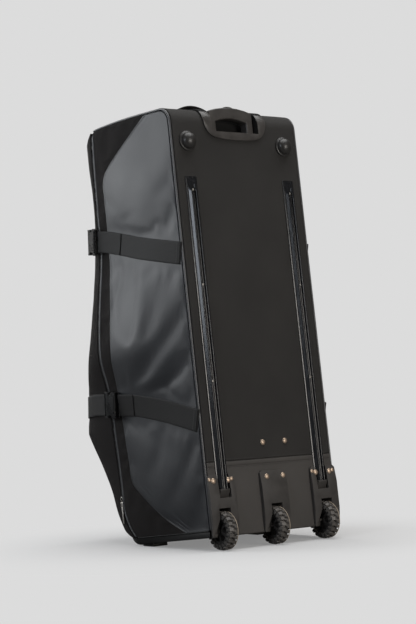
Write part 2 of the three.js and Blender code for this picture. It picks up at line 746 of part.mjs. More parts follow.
// Strap over the lid, from one plug half round the front to the other.
function makeFrontStrap(strap) {
  const level = strapLine(strap, 1.2 * tubDepth);
  const row = (side) => (turn) => {
    const depth = hoopPoint(level, turn, true).y;
    return { middle: strapLine(strap, depth), place: turn, onLid: true, side };
  };
  const half = strap.lidTurns.map(row(1));
  const otherHalf = strap.lidTurns.slice(0, -1).reverse().map(row(-1));
  addPiece(`strap_${strap.name}_front`, webbing([...half, ...otherHalf]), "webbing");
}

// Where a tilted buckle starts so that its back clears the side and the lid all over its length.
function buckleFoot(strap, back) {
  const level = strapLine(strap, back);
  const length = socketLength + plugLength;
  const tilt = THREE.MathUtils.degToRad(strap.tilt);
  const half = buckleWidth / 2;
  const out = new THREE.Vector2(Math.cos(tilt), Math.sin(tilt));
  const along = new THREE.Vector2(-Math.sin(tilt), Math.cos(tilt));
  const start = hoopPoint(level, back, false);
  let reach = 0;
  for (const offset of [-half, -half / 2, 0, half / 2, half]) {
    const z = level + offset;
    const steps = Array.from({ length: 9 }, (_, k) => k / 8);
    const onSide = steps.map((step) => hoopPoint(z, back - 8 + step * (bodyRow(z).zip - back + 8), false));
    const onLid = steps.map((step) => hoopPoint(z, step * 80, true));
    for (const point of [...onSide, ...onLid]) {
      const offsetPoint = point.clone().sub(start);
      if (offsetPoint.dot(along) < length + 2) reach = Math.max(reach, offsetPoint.dot(out));
    }
  }
  return start.addScaledVector(out, reach + buckleLift);
}

// Side-release buckle: flat on the bag along the strap, socket half behind and plug half in front of it.
function makeBuckle(strap, name, side, back) {
  const level = strapLine(strap, back);
  const rise = Math.atan(strapSlope(strap, back));
  const tilt = THREE.MathUtils.degToRad(strap.tilt);
  const along = new THREE.Vector3(
    -side * Math.sin(tilt) * Math.cos(rise), -Math.cos(tilt) * Math.cos(rise), Math.sin(rise));
  const out = new THREE.Vector3(side * Math.cos(tilt), -Math.sin(tilt), 0);
  const place = new THREE.Matrix4().makeBasis(along, out.clone().cross(along), out);
  const half = buckleWidth / 2;
  const front = socketLength + plugLength;
  const foot = buckleFoot(strap, back);
  place.setPosition(side * foot.x, -foot.y, level);
  const addHalf = (kind, outline) => {
    const body = new THREE.ExtrudeGeometry(outlineShape(outline), { depth: buckleWall, bevelEnabled: false });
    addPiece(`buckle_${kind}_${strap.name}_${name}`, body.applyMatrix4(place), "plastic");
  };
  addHalf("socket", [
    [0, 4 - half], [4, 2 - half], [socketLength - 14, -half], [socketLength - 9, 7 - half],
    [socketLength - 3, 7 - half], [socketLength, 3 - half], [socketLength, half - 3],
    [socketLength - 3, half - 7], [socketLength - 9, half - 7], [socketLength - 14, half],
    [4, half - 2], [0, half - 4],
  ]);
  addHalf("plug", [
    [socketLength + gap, 3 - half], [front - 5, 2 - half], [front, 5 - half],
    [front, half - 5], [front - 5, half - 2], [socketLength + gap, half - 3],
  ]);
}

// Zip pulls: one flat tab with an eye on each side, hanging at the lower end of the zip.
function makeZipPulls() {
  for (const { name, side } of sides) {
    const low = zipLowEnd + 4;
    const middle = bodyRow(low + pullLength / 2).zip + (zipBack + zipFront) / 2;
    const half = pullWidth / 2;
    const tab = outlineShape([
      [middle - half * 0.6, low], [middle + half * 0.6, low], [middle + half, low + half],
      [middle + half, low + pullLength], [middle - half, low + pullLength], [middle - half, low + half],
    ]);
    tab.holes.push(new THREE.Path().absarc(middle, low + half + 1, half * 0.5, 0, 2 * Math.PI, true));
    const fullest = Math.max(bodyRow(low).bulge, bodyRow(low + pullLength).bulge);
    const from = bodyWidth / 2 + fullest + pipingRadius - rimSunk + gap;
    const edges = side > 0 ? [from, from + pullWall] : [-from - pullWall, -from];
    addPiece(`zip_pull_${name}`, acrossWidth(tab, edges[0], edges[1], 3), "steel");
  }
}

// Webbing grab handle: an arch across the top with its ends sewn down.
function makeGrabHandle() {
  const reach = grabSpan / 2;
  const across = [-reach - grabSewn, -reach, -0.7 * reach, -0.35 * reach, 0,
    0.35 * reach, 0.7 * reach, reach, reach + grabSewn];
  const grid = (extra) => across.map((x) => [-0.5, 0.5].map((share) => {
    const depth = grabDepth + share * grabWidth;
    const arch = grabRise * Math.cos((Math.PI / 2) * Math.min(Math.abs(x) / reach, 1)) ** 0.8;
    return new THREE.Vector3(x, -depth, topSurface(x, depth) + grabLift + arch + extra);
  }));
  addPiece("top_grab_handle", wallSolid(grid(grabWall), grid(0)), "webbing");
}

// Skid rail: flanged strip with a raised, grooved rib, tapered at its top end.
function makeRails() {
  const half = railWidth / 2;
  const rib = [
    [-half, gap], [-half, 2.3], [-10, 2.8], [-8.5, railTall - 1.3], [-6.5, railTall], [-3.5, railTall],
    [-2.5, railTall - 1.5],
  ];
  const section = [...rib, ...rib.map(([x, y]) => [-x, y]).reverse()].reverse();
  const taper = outlineShape([
    [-30, railHigh - railTaper], [-railTall, railHigh - railTaper], [-2.6, railHigh + 1], [-30, railHigh + 1],
  ]);
  for (const { name, side } of sides) {
    const x = (side * railSpacing) / 2;
    const bar = new THREE.ExtrudeGeometry(outlineShape(section), { depth: railHigh - railLow, bevelEnabled: false });
    bar.translate(x, 0, railLow);
    const wedge = acrossWidth(taper, x - railWidth, x + railWidth);
    addPiece(`skid_rail_${name}`, combine(bar, { cut: [wedge] }), "gloss");
  }
}

// Dome foot: rubber dome on a base ring, turned about the way it points.
function makeDomeFeet() {
  const dome = [15, 35, 55, 75].map((degrees) => {
    const turn = THREE.MathUtils.degToRad(degrees);
    return new THREE.Vector2(domeRadius * Math.cos(turn), 5 + (domeTall - 5) * Math.sin(turn));
  });
  const profile = [
    new THREE.Vector2(0, gap), new THREE.Vector2(domeBase, gap), new THREE.Vector2(domeBase, 4),
    new THREE.Vector2(domeRadius, 5), ...dome, new THREE.Vector2(0, domeTall),
  ];
  for (const { name, side } of sides) {
    const foot = new THREE.LatheGeometry(profile, 16).translate((side * domeSpacing) / 2, 0, domeHeight);
    addPiece(`dome_foot_${name}`, foot, "rubber");
  }
}

// Wedge feet under the front of the base, level with the floor when the bag leans on them.
function makeFrontFeet() {
  const back = footFront - footLength;
  const drop = footLength * Math.tan(lean);
  const wedge = outlineShape([
    [back, footLow - drop], [footFront, footLow], [footFront, baseUnder - gap], [back, baseUnder - gap],
  ]);
  for (const { name, side } of sides) {
    const x = (side * footSpacing) / 2;
    addPiece(`front_foot_${name}`, acrossWidth(wedge, x - footWidth / 2, x + footWidth / 2), "rubber");
  }
}

// Handle

// Outline in depth and z of the back bend, moved outwards by an offset, down to a lowest line.
function bendOutline(offset, low, run) {
  const shape = new THREE.Shape();
  shape.moveTo(-offset, low);
  shape.lineTo(-offset, bendHeight);
  shape.absarc(backBend, bendHeight, backBend + offset, Math.PI, Math.PI / 2, true);
  shape.lineTo(backBend + run, bodyHeight + offset);
  shape.lineTo(backBend + run, low);
  return shape;
}

// Cup: a lip that follows the bend, and a pocket behind it for the grip. The tubes pass its floor.
function makeHandleCup() {
  const half = lipWidth / 2;
  const front = new THREE.Shape();
  front.moveTo(-half, bodyHeight + 30);
  front.lineTo(-half, bodyHeight - 25);
  front.quadraticCurveTo(-half + 4, lipLow + 8, 0.62 * -half, lipLow + 4);
  front.quadraticCurveTo(0, lipLow - 4, 0.62 * half, lipLow + 4);
  front.quadraticCurveTo(half - 4, lipLow + 8, half, bodyHeight - 25);
  front.lineTo(half, bodyHeight + 30);
  const low = lipLow - 20;
  const inside = combine(acrossWidth(bendOutline(gap, low - 5, lipTopRun + 5), -half - 5, half + 5, 7), {});
  const lip = combine(acrossWidth(bendOutline(lipThick, low, lipTopRun), -half, half, 7), {
    keep: [acrossDepth(front, -20, backBend + 40, 6)],
    cut: [inside],
  });
  const pocketHalf = pocketWidth / 2 + cupWall;
  const pocket = combine(block(2 * pocketHalf, -lipThick, cupDepth + cupWall, cupFloor - cupWall, bodyHeight + 30), {
    keep: [acrossWidth(bendOutline(lipThick - 0.5, low, lipTopRun), -half, half, 7)],
  });
  const cavity = block(pocketWidth, -30, cupDepth, cupFloor, bodyHeight + 60);
  const holes = sides.map(({ side }) =>
    upright(guideBore, cupFloor - cupWall - 5, cupFloor + 5, (side * tubeSpacing) / 2));
  addPiece("handle_cup", combine(lip, { add: [pocket], cut: [cavity, ...holes] }), "plastic");
}

function upright(radius, low, high, x, sideCount = 12) {
  const cylinder = new THREE.CylinderGeometry(radius, radius, high - low, sideCount);
  return cylinder.rotateX(Math.PI / 2).translate(x, -tubeDepth, (low + high) / 2);
}

// Telescopic tubes: fixed guides between cup and bracket, and the sliding pair under the grip.
function makeTubes() {
  for (const { name, side } of sides) {
    const x = (side * tubeSpacing) / 2;
    const guideTop = cupFloor - cupWall - gap;
    const guide = combine(upright(guideRadius, guideLow, guideTop, x), {
      cut: [upright(guideBore, guideLow - 5, guideTop + 5, x)],
    });
    addPiece(`handle_guide_${name}`, guide, "aluminium");
    addPiece(`handle_tube_${name}`, upright(tubeRadius, guideLow + tubeRise, cupFloor, x), "aluminium");
  }
  const seatTop = guideLow - gap;
  const plateFront = boardWall + gap + bracketWall;
  const seats = sides.map(({ side }) =>
    block(seatWidth, plateFront - 2, tubeDepth + guideRadius + 2, seatTop - bracketSeat, seatTop,
      (side * tubeSpacing) / 2));
  const plate = block(tubeSpacing + 2 * bracketReach, boardWall + gap, plateFront,
    guideLow - bracketHeight / 2 - 1, guideLow + bracketHeight / 2 - 1);
  addPiece("guide_bracket", combine(plate, { add: seats }), "plastic");
}

// Grip: an arched bar on two legs, with a push button in its top.
function makeGrip() {
  const half = gripWidth / 2;
  const inner = half - legWidth;
  const low = cupFloor + gap;
  const shape = new THREE.Shape();
  shape.moveTo(-half, low);
  shape.lineTo(-half, gripTop - gripArch);
  shape.quadraticCurveTo(0, gripTop + gripArch, half, gripTop - gripArch);
  shape.lineTo(half, low);
  shape.lineTo(inner, low);
  shape.lineTo(inner, gripTop - gripArch - gripTall);
  shape.quadraticCurveTo(0, gripTop + gripArch - gripTall - 4, -inner, gripTop - gripArch - gripTall);
  shape.lineTo(-inner, low);
  const bar = acrossDepth(shape, tubeDepth - gripDeep / 2, tubeDepth + gripDeep / 2, 6);
  const seatLow = gripTop - buttonTall - buttonTravel - gap;
  const deep = buttonDeep / 2 + gap;
  const seat = block(buttonWidth + 2 * gap, tubeDepth - deep, tubeDepth + deep, seatLow, gripTop + 20);
  addPiece("handle_grip", combine(bar, { cut: [seat] }), "plastic");
  const button = new THREE.Shape();
  const buttonLow = gripTop - buttonTall;
  button.moveTo(-buttonWidth / 2, buttonLow);
  button.lineTo(-buttonWidth / 2, gripTop);
  button.quadraticCurveTo(0, gripTop + 2 * buttonProud, buttonWidth / 2, gripTop);
  button.lineTo(buttonWidth / 2, buttonLow);
  addPiece("push_button", acrossDepth(button, tubeDepth - buttonDeep / 2, tubeDepth + buttonDeep / 2, 5), "plastic");
}

// Wheels

// Housing: face plate on the back, and a well through it that holds the axle between two cheeks.
function makeHousing({ name, x }) {
  const half = housingWidth / 2;
  const face = outlineShape([
    [-gap, baseUnder], [-gap, housingTop], [-housingEdge, housingTop], [-housingProud, housingTop - 36],
    [-housingProud, axleHeight + 26], [-housingEdge, baseUnder + 3], [-housingEdge, baseUnder],
  ]);
  const front = outlineShape([
    [x - half, baseUnder], [x - half, housingTop - 5], [x - half + 5, housingTop],
    [x + half - 5, housingTop], [x + half, housingTop - 5], [x + half, baseUnder],
  ]);
  const plate = combine(acrossWidth(face, x - half, x + half), { keep: [acrossDepth(front, -20, 20)] });
  const boss = Array.from({ length: 5 }, (_, k) => {
    const turn = Math.PI * (1 + (k - 0.5) * 0.2);
    return [axleDepth + bossRadius * Math.cos(turn), axleHeight + bossRadius * Math.sin(turn)];
  });
  const cheek = outlineShape([
    [-housingProud, wellTop], [-housingProud, axleHeight + 26], ...boss,
    [wellDepth, baseUnder], [wellDepth, wellTop],
  ]);
  const well = acrossWidth(cheek, x - wellWidth / 2, x + wellWidth / 2);
  const slotTop = wellTop - wellWall;
  const slot = block(slotWidth, -60, wellDepth - wellWall, -60, slotTop, x);
  const flare = acrossDepth(outlineShape([
    [x - slotWidth / 2, axleHeight + 24], [x - slotWidth / 2 - 9, -5],
    [x + slotWidth / 2 + 9, -5], [x + slotWidth / 2, axleHeight + 24],
  ]), -40, -gap);
  const bore = across(axleRadius + gap, wellWidth + 20, x);
  const cut = [slot, bore];
  if (x !== 0) {
    const railX = (Math.sign(x) * railSpacing) / 2;
    cut.push(block(railWidth + 2 * gap, -40, 0, railLow - gap, housingTop + 20, railX));
  }
  const trimmed = combine(plate, { cut: [flare] });
  addPiece(`wheel_housing_${name}`, combine(trimmed, { add: [well], cut }), "plastic");
}

function across(radius, length, x, sideCount = 10) {
  const cylinder = new THREE.CylinderGeometry(radius, radius, length, sideCount);
  return cylinder.rotateZ(Math.PI / 2).translate(x, -axleDepth, axleHeight);
}

function circlePath(radius, count) {
  return roundSection(radius, count).map(([a, b]) => [axleDepth + a, axleHeight + b]);
}

// Tyre with square knobs, one of them flat on the floor, on a spoked hub that turns on its axle.
function makeWheel({ name, x }) {
  const down = Math.atan2(-Math.cos(lean), Math.sin(lean));
  const root = tyreRadius - knobDeep;
  const tread = [];
  for (let k = 0; k < knobCount; k += 1) {
    const middle = down + (2 * Math.PI * k) / knobCount;
    for (const [radius, turn] of [[root, -1.35], [tyreRadius, -1], [tyreRadius, 1], [root, 1.35]]) {
      const at = middle + turn * knobHalfTurn;
      tread.push([axleDepth + radius * Math.cos(at), axleHeight + radius * Math.sin(at)]);
    }
  }
  const tyre = outlineShape(tread);
  tyre.holes.push(new THREE.Path(circlePath(hubRadius + gap, 20).map(([a, b]) => new THREE.Vector2(a, b))));
  addPiece(`tyre_${name}`, acrossWidth(tyre, x - tyreWidth / 2, x + tyreWidth / 2), "rubber");

  const hub = outlineShape(circlePath(hubRadius, 20));
  const addHole = (points) => hub.holes.push(new THREE.Path(points.map(([a, b]) => new THREE.Vector2(a, b))));
  addHole(circlePath(axleRadius + gap, 10));
  for (let k = 0; k < hubSpokes; k += 1) {
    const middle = (2 * Math.PI * k) / hubSpokes;
    addHole([[11, -0.3], [23, -0.4], [24.5, 0], [23, 0.4], [11, 0.3]].map(([radius, turn]) => [
      axleDepth + radius * Math.cos(middle + turn), axleHeight + radius * Math.sin(middle + turn),
    ]));
  }
  addPiece(`hub_${name}`, acrossWidth(hub, x - hubWidth / 2, x + hubWidth / 2), "plastic");
  addPiece(`axle_${name}`, across(axleRadius, wellWidth, x), "steel");
}

makeSides();
makeBackPanels();
makeTopPanel();
makeBase();
makeLid();
makeMouth();
makeSidePiping();
makeStraps();
makeZipPulls();
makeGrabHandle();
makeRails();
makeDomeFeet();
makeFrontFeet();
makeHandleCup();
makeTubes();
makeGrip();
for (const place of wheelPlaces) {
  makeHousing(place);
  makeWheel(place);
}

// The bag leans onto its feet, and its origin is under the middle of its bounding box.
bag.rotation.x = lean;
bag.updateMatrixWorld(true);
const bounds = new THREE.Box3().setFromObject(bag, true);
bag.position.set(
  -(bounds.min.x + bounds.max.x) / 2, -(bounds.min.y + bounds.max.y) / 2, -bounds.min.z);

const group = new THREE.Group();
group.add(bag);

export default group;
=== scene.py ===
"""A wheeled cricket kit bag: cloth, webbing, piping, zip, moulded parts and wheels, with light and camera.

Metres. In the bag's own frame x runs across, z up its length, and the back panel lies at y = 0, with
y = -depth towards the front. to_row turns that frame into the shared one, where the bag leans forward.
"""
import json
import math

import bmesh
import bpy
import numpy as np
from mathutils import Matrix, Vector


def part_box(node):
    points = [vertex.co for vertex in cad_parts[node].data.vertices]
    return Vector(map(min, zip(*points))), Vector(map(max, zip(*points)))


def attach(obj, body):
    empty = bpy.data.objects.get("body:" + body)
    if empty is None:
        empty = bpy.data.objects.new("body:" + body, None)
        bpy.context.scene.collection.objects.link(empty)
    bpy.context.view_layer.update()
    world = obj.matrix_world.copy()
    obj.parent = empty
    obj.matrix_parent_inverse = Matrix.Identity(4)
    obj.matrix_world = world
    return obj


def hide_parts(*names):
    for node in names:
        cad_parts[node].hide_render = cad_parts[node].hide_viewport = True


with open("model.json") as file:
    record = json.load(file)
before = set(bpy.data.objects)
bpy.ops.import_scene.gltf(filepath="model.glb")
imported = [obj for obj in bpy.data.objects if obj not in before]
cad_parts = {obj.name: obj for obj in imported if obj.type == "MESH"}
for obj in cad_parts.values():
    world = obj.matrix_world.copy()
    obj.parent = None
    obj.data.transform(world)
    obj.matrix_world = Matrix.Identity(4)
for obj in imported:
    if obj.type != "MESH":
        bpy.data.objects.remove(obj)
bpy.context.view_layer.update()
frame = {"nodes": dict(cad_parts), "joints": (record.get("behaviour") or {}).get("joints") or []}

# Body
BODY_WIDTH = 0.362
BODY_HEIGHT = 0.957
TOP_RISE = 0.016
TOP_CROWN = 0.006
BACK_BEND = 0.038
BACK_TOP_RUN = 0.015
TUB_DEPTH = 0.325
BELLY_DEPTH = 0.480
SIDE_BULGE = 0.025
SIDE_LOFT = 0.008
LID_CROWN = 0.006
LID_SIDE_ROUND = 0.040
LID_TOP_ROUND = 0.028
LID_BOTTOM_ROUND = 0.025
LID_BOTTOM = 0.018
SEAM_HEIGHT = 0.165
BASE_UNDER = 0.005
BASE_LIP = 0.018
CLOTH_WALL = 0.0028
GAP = 0.0003

# Piping and zip
PIPING_RADIUS = 0.0025
PIPING_SUNK = 0.003
RIM_SUNK = 0.0012
RIM_CORNER = 0.015
MOUTH_DROOP = 0.007
ZIP_WIDTH = 0.0044
ZIP_LOW_END = 0.080
SEAM_INSET = PIPING_SUNK + PIPING_RADIUS + 2.6 * GAP
RIM_AXIS = -(ZIP_WIDTH / 2 + GAP + PIPING_RADIUS) + 2 * GAP
RIM_BACK = RIM_AXIS - PIPING_RADIUS - 4 * GAP
ZIP_BACK = RIM_AXIS + PIPING_RADIUS + GAP
ZIP_FRONT = ZIP_BACK + ZIP_WIDTH
LID_BACK = ZIP_FRONT + GAP
SIDE_LOW = BASE_LIP + 2 * GAP
BEND_HEIGHT = BODY_HEIGHT - BACK_BEND
TOP_START = BACK_BEND + BACK_TOP_RUN + GAP

# Webbing and buckles
WEB_WIDTH = 0.050
WEB_WALL = 0.002
WEB_LIFT = 0.0016
BUCKLE_WIDTH = 0.063
BUCKLE_WALL = 0.0115
SOCKET_LENGTH = 0.036
PLUG_LENGTH = 0.026
BUCKLE_LIFT = 0.002
STRAP_START = 0.0050

# Wheels
AXLE_DEPTH = 0.0073
AXLE_HEIGHT = 0.018
TYRE_RADIUS = 0.0425
TYRE_WIDTH = 0.022
HUB_RADIUS = 0.028
KNOB_COUNT = 20
WHEEL_INSET = 0.0365

# Axes of the bag's frame
ACROSS = (1.0, 0.0, 0.0)
BACKWARD = (0.0, 1.0, 0.0)
FORWARD = (0.0, -1.0, 0.0)
UPWARD = (0.0, 0.0, 1.0)

# Cross sections by height, as shares of BODY_HEIGHT, TUB_DEPTH, BELLY_DEPTH, SIDE_BULGE and SIDE_LOFT.
SECTIONS = [
    {"height": 0.020, "zip": 0.883, "front": 0.719, "bulge": 0.00, "loft": 0.0},
    {"height": 0.047, "zip": 0.945, "front": 0.752, "bulge": 0.02, "loft": 0.2},
    {"height": 0.084, "zip": 0.991, "front": 0.790, "bulge": 0.04, "loft": 0.5},
    {"height": 0.141, "zip": 0.994, "front": 0.840, "bulge": 0.04, "loft": 0.8},
    {"height": 0.199, "zip": 0.997, "front": 0.904, "bulge": 0.08, "loft": 0.7},
    {"height": 0.258, "zip": 1.000, "front": 0.975, "bulge": 0.16, "loft": 0.4},
    {"height": 0.287, "zip": 1.000, "front": 1.000, "bulge": 0.20, "loft": 0.3},
    {"height": 0.332, "zip": 1.000, "front": 0.969, "bulge": 0.28, "loft": 0.4},
    {"height": 0.386, "zip": 1.000, "front": 0.935, "bulge": 0.50, "loft": 0.8},
    {"height": 0.450, "zip": 1.000, "front": 0.868, "bulge": 1.00, "loft": 1.0},
    {"height": 0.515, "zip": 0.997, "front": 0.823, "bulge": 0.92, "loft": 1.0},
    {"height": 0.618, "zip": 0.988, "front": 0.790, "bulge": 0.44, "loft": 0.5},
    {"height": 0.669, "zip": 0.982, "front": 0.783, "bulge": 0.16, "loft": 0.3},
    {"height": 0.719, "zip": 0.975, "front": 0.773, "bulge": 0.02, "loft": 0.3},
    {"height": 0.794, "zip": 0.969, "front": 0.731, "bulge": 0.06, "loft": 0.8},
    {"height": 0.860, "zip": 0.960, "front": 0.729, "bulge": 0.08, "loft": 1.0},
    {"height": 0.928, "zip": 0.954, "front": 0.748, "bulge": 0.08, "loft": 0.6},
    {"height": 1.020, "zip": 0.938, "front": 0.754, "bulge": 0.08, "loft": 0.2},
]

# Front edge of the coated side panel: share of the side's height, share of TUB_DEPTH.
PANEL_EDGE = [
    {"up": 0.000, "depth": 0.270},
    {"up": 0.039, "depth": 0.492},
    {"up": 0.100, "depth": 0.732},
    {"up": 0.133, "depth": 0.837},
    {"up": 0.190, "depth": 0.855},
    {"up": 0.240, "depth": 0.866},
    {"up": 0.284, "depth": 0.874},
    {"up": 0.330, "depth": 0.874},
    {"up": 0.370, "depth": 0.868},
    {"up": 0.415, "depth": 0.848},
    {"up": 0.458, "depth": 0.832},
    {"up": 0.505, "depth": 0.830},
    {"up": 0.553, "depth": 0.834},
    {"up": 0.627, "depth": 0.849},
    {"up": 0.665, "depth": 0.857},
    {"up": 0.700, "depth": 0.862},
    {"up": 0.735, "depth": 0.855},
    {"up": 0.775, "depth": 0.847},
    {"up": 0.825, "depth": 0.843},
    {"up": 0.867, "depth": 0.837},
    {"up": 0.892, "depth": 0.785},
    {"up": 0.918, "depth": 0.670},
    {"up": 0.953, "depth": 0.492},
    {"up": 1.000, "depth": 0.270},
]

# Folds of the coated cloth. Middle as shares of TUB_DEPTH and BODY_HEIGHT, run is half the length and
# spread half the width in metres, slope turns the fold up towards the back, rise is its height.
SIDE_FOLDS = [
    {"depth": 0.530, "height": 0.404, "run": 0.130, "spread": 0.0230, "slope": 31, "rise": -0.0026},
    {"depth": 0.455, "height": 0.382, "run": 0.125, "spread": 0.0210, "slope": 28, "rise": 0.0028},
    {"depth": 0.360, "height": 0.364, "run": 0.065, "spread": 0.0140, "slope": 10, "rise": -0.0026},
    {"depth": 0.700, "height": 0.372, "run": 0.045, "spread": 0.0140, "slope": 66, "rise": 0.0012},
    {"depth": 0.350, "height": 0.633, "run": 0.062, "spread": 0.0190, "slope": 20, "rise": -0.0015},
    {"depth": 0.590, "height": 0.774, "run": 0.040, "spread": 0.0120, "slope": 3, "rise": -0.0006},
    {"depth": 0.740, "height": 0.618, "run": 0.050, "spread": 0.0140, "slope": 75, "rise": -0.0012},
    {"depth": 0.480, "height": 0.245, "run": 0.110, "spread": 0.0260, "slope": -34, "rise": -0.0014},
    {"depth": 0.300, "height": 0.130, "run": 0.090, "spread": 0.0220, "slope": 42, "rise": -0.0012},
]

# Middle line of each strap, the place of its buckle's socket and of its folded-back end along the side,
# as shares of TUB_DEPTH and BODY_HEIGHT. tilt turns the buckle in towards the front, in degrees.
STRAPS = {
    "upper": {
        "line": [
            {"depth": 0.00, "height": 0.651},
            {"depth": 0.46, "height": 0.692},
            {"depth": 0.70, "height": 0.717},
            {"depth": 0.93, "height": 0.738},
            {"depth": 1.20, "height": 0.752},
        ],
        "buckle": 0.930, "tilt": 12, "tail": 0.690, "first_turn": 56,
    },
    "lower": {
        "line": [
            {"depth": 0.00, "height": 0.267},
            {"depth": 0.36, "height": 0.304},
            {"depth": 0.66, "height": 0.328},
            {"depth": 0.86, "height": 0.338},
            {"depth": 1.20, "height": 0.350},
        ],
        "buckle": 0.840, "tilt": 2, "tail": 0.690, "first_turn": 6,
    },
}

# Kinds of cloth for the simulation: slack as a share of its size, bending stiffness, push of what is
# inside, share of its weight, and the furthest that it may move in metres. Cloth is held where the cover
# of a strap is above HELD_COVER, and the coated cloth moves less above the heights in CALM_TOP.
CLOTH_FRAMES = 24
CLOTH_SETTINGS = {
    "quality": 6, "mass": 0.15, "tension_stiffness": 25, "compression_stiffness": 25,
    "shear_stiffness": 12, "air_damping": 3,
}
HELD_COVER = 0.97
CALM_TOP = (0.78, 0.90)
CALM_SHARE = 0.85
COATED_KIND = {"slack": 0.0018, "bending": 17, "push": 0.4, "weight": 0.15, "cap": 0.0026}
BLACK_KIND = {"slack": 0.003, "bending": 3, "push": 0.3, "weight": 0.30, "cap": 0.0030}

# The bag's frame in the shared one: it leans by the slope of the handle's slide, and its axle is placed.
slide_axis = next(joint["axis"] for joint in frame["joints"] if joint["name"] == "handle_slide")
LEAN = math.atan2(-slide_axis[1], slide_axis[2])


def turned_about_x(points, angle):
    """Points turned about the x axis."""
    x, y, z = points[..., 0], points[..., 1], points[..., 2]
    cosine, sine = math.cos(angle), math.sin(angle)
    return np.stack([x, y * cosine - z * sine, y * sine + z * cosine], -1)


def leaned(points):
    """Points turned about the x axis by the lean."""
    return turned_about_x(points, LEAN)


def unleaned(points):
    """Points turned back about the x axis by the lean."""
    return turned_about_x(points, -LEAN)


axle_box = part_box("axle_middle")
axle_middle = (np.array(axle_box[0]) + np.array(axle_box[1])) / 2
shift = axle_middle - leaned(np.array([0.0, -AXLE_DEPTH, AXLE_HEIGHT]))


def to_row(points):
    """Points of the bag's own frame in the shared frame."""
    return leaned(np.asarray(points, float)) + shift


def at(x, depth, z):
    """Points from three arrays that broadcast: across, depth and height."""
    x, depth, z = np.broadcast_arrays(x, depth, z)
    return np.stack([x, -depth, z], -1).astype(float)


def repeated(axis, line):
    """One axis for each point of a line."""
    return np.broadcast_to(np.asarray(axis, float), line.shape)


def run_along(line):
    """Length along a line of points, up to each of them."""
    return np.concatenate([[0], np.linalg.norm(np.diff(line, axis=0), axis=1).cumsum()])


def read_line(places, run, line):
    """What a line's points hold at given lengths along it."""
    return np.stack([np.interp(places, run, line[:, k]) for k in range(3)], -1)


# Meshes

def link_to_scene(piece):
    """Puts an object into the scene."""
    bpy.context.scene.collection.objects.link(piece)


def add_mesh(name, points, faces, finish, body="shell", replaces=(), slot=None, smooth=True, uv=None):
    """Makes an object from points of the bag's frame and a list of face arrays, riding on a body."""
    mesh = bpy.data.meshes.new(name)
    quads = [face for block in faces for face in np.asarray(block).tolist()]
    mesh.from_pydata(to_row(points).tolist(), [], quads)
    mesh.update()
    if uv is not None:
        layer = mesh.uv_layers.new(name="surface")
        corner = np.zeros(len(mesh.loops), np.int32)
        mesh.loops.foreach_get("vertex_index", corner)
        layer.data.foreach_set("uv", np.asarray(uv, np.float32)[corner].ravel())
    mesh.polygons.foreach_set("use_smooth", np.full(len(mesh.polygons), smooth))
    piece = bpy.data.objects.new(name, mesh)
    link_to_scene(piece)
    piece.data.materials.append(finish)
    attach(piece, body)
    if replaces:
        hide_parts(*replaces)
    return piece


def grid_faces(rows, columns, wrap=False, start=0):
    """Quads of a grid of points, row by row. With wrap the last column joins the first."""
    r = np.arange(rows - 1)[:, None]
    c = np.arange(columns if wrap else columns - 1)[None, :]
    following = (c + 1) % columns
    corners = [r * columns + c, r * columns + following, (r + 1) * columns + following, (r + 1) * columns + c]
    return start + np.stack(np.broadcast_arrays(*corners), -1).reshape(-1, 4)


def outward(points, faces):
    """Faces turned so that the closed surface's signed volume is positive."""
    volume = 0.0
    for block in faces:
        block = np.asarray(block)
        for k in range(1, block.shape[1] - 1):
            a, b, c = points[block[:, 0]], points[block[:, k]], points[block[:, k + 1]]
            volume += np.einsum("ij,ij->", a, np.cross(b, c))
    return [np.asarray(block)[:, ::-1] for block in faces] if volume < 0 else faces


def wall_mesh(outer, inner, kept=None):
    """Closed wall between two grids: the kept quads of both, and a strip of quads round their open edge."""
    rows, columns = outer.shape[:2]
    count = rows * columns
    front = grid_faces(rows, columns)
    if kept is not None:
        front = front[np.asarray(kept).ravel()]
    start = front.ravel()
    end = np.roll(front, -1, 1).ravel()
    open_edge = ~np.isin(start * count + end, end * count + start)
    start, end = start[open_edge], end[open_edge]
    strip = np.stack([end, start, start + count, end + count], -1)
    used, index = np.unique(np.concatenate([front.ravel(), start]), return_inverse=True)
    whole = np.concatenate([front, front[:, ::-1] + count, strip])
    place = np.full(2 * count, -1)
    place[used] = np.arange(len(used))
    place[used + count] = np.arange(len(used)) + len(used)
    points = np.concatenate([outer.reshape(-1, 3)[used], inner.reshape(-1, 3)[used]])
    return points, outward(points, [place[whole]]), used


def add_wall(name, outer, inner, finish, kept=None, uv=None, **options):
    """Closed cloth wall with a UV map in metres along its rows and columns."""
    if uv is None:
        along = np.linalg.norm(np.diff(outer, axis=0, prepend=outer[:1]), axis=-1).cumsum(0)
        across = np.linalg.norm(np.diff(outer, axis=1, prepend=outer[:, :1]), axis=-1).cumsum(1)
        uv = np.stack([across, along], -1)
    points, faces, used = wall_mesh(outer, inner, kept)
    uv = uv.reshape(-1, 2)[used]
    return add_mesh(name, points, faces, finish, uv=np.concatenate([uv, uv]), **options)


def sweep_mesh(origins, axis_a, axis_b, section, closed=False):
    """Section carried along stations: point = origin + a times axis_a + b times axis_b, ends capped."""
    section = np.asarray(section, float)
    if section.ndim == 2:
        section = np.broadcast_to(section, (len(origins), *section.shape))
    points = (origins[:, None] + section[..., :1] * axis_a[:, None] + section[..., 1:] * axis_b[:, None])
    rows, columns = points.shape[:2]
    faces = [grid_faces(rows, columns, wrap=True)]
    if closed:
        last = np.arange(columns) + (rows - 1) * columns
        first = np.arange(columns)
        faces.append(np.stack([last, np.roll(last, -1), np.roll(first, -1), first], -1))
    else:
        faces += [np.arange(columns)[None, ::-1], (np.arange(columns) + (rows - 1) * columns)[None]]
    points = points.reshape(-1, 3)
    return points, outward(points, faces)


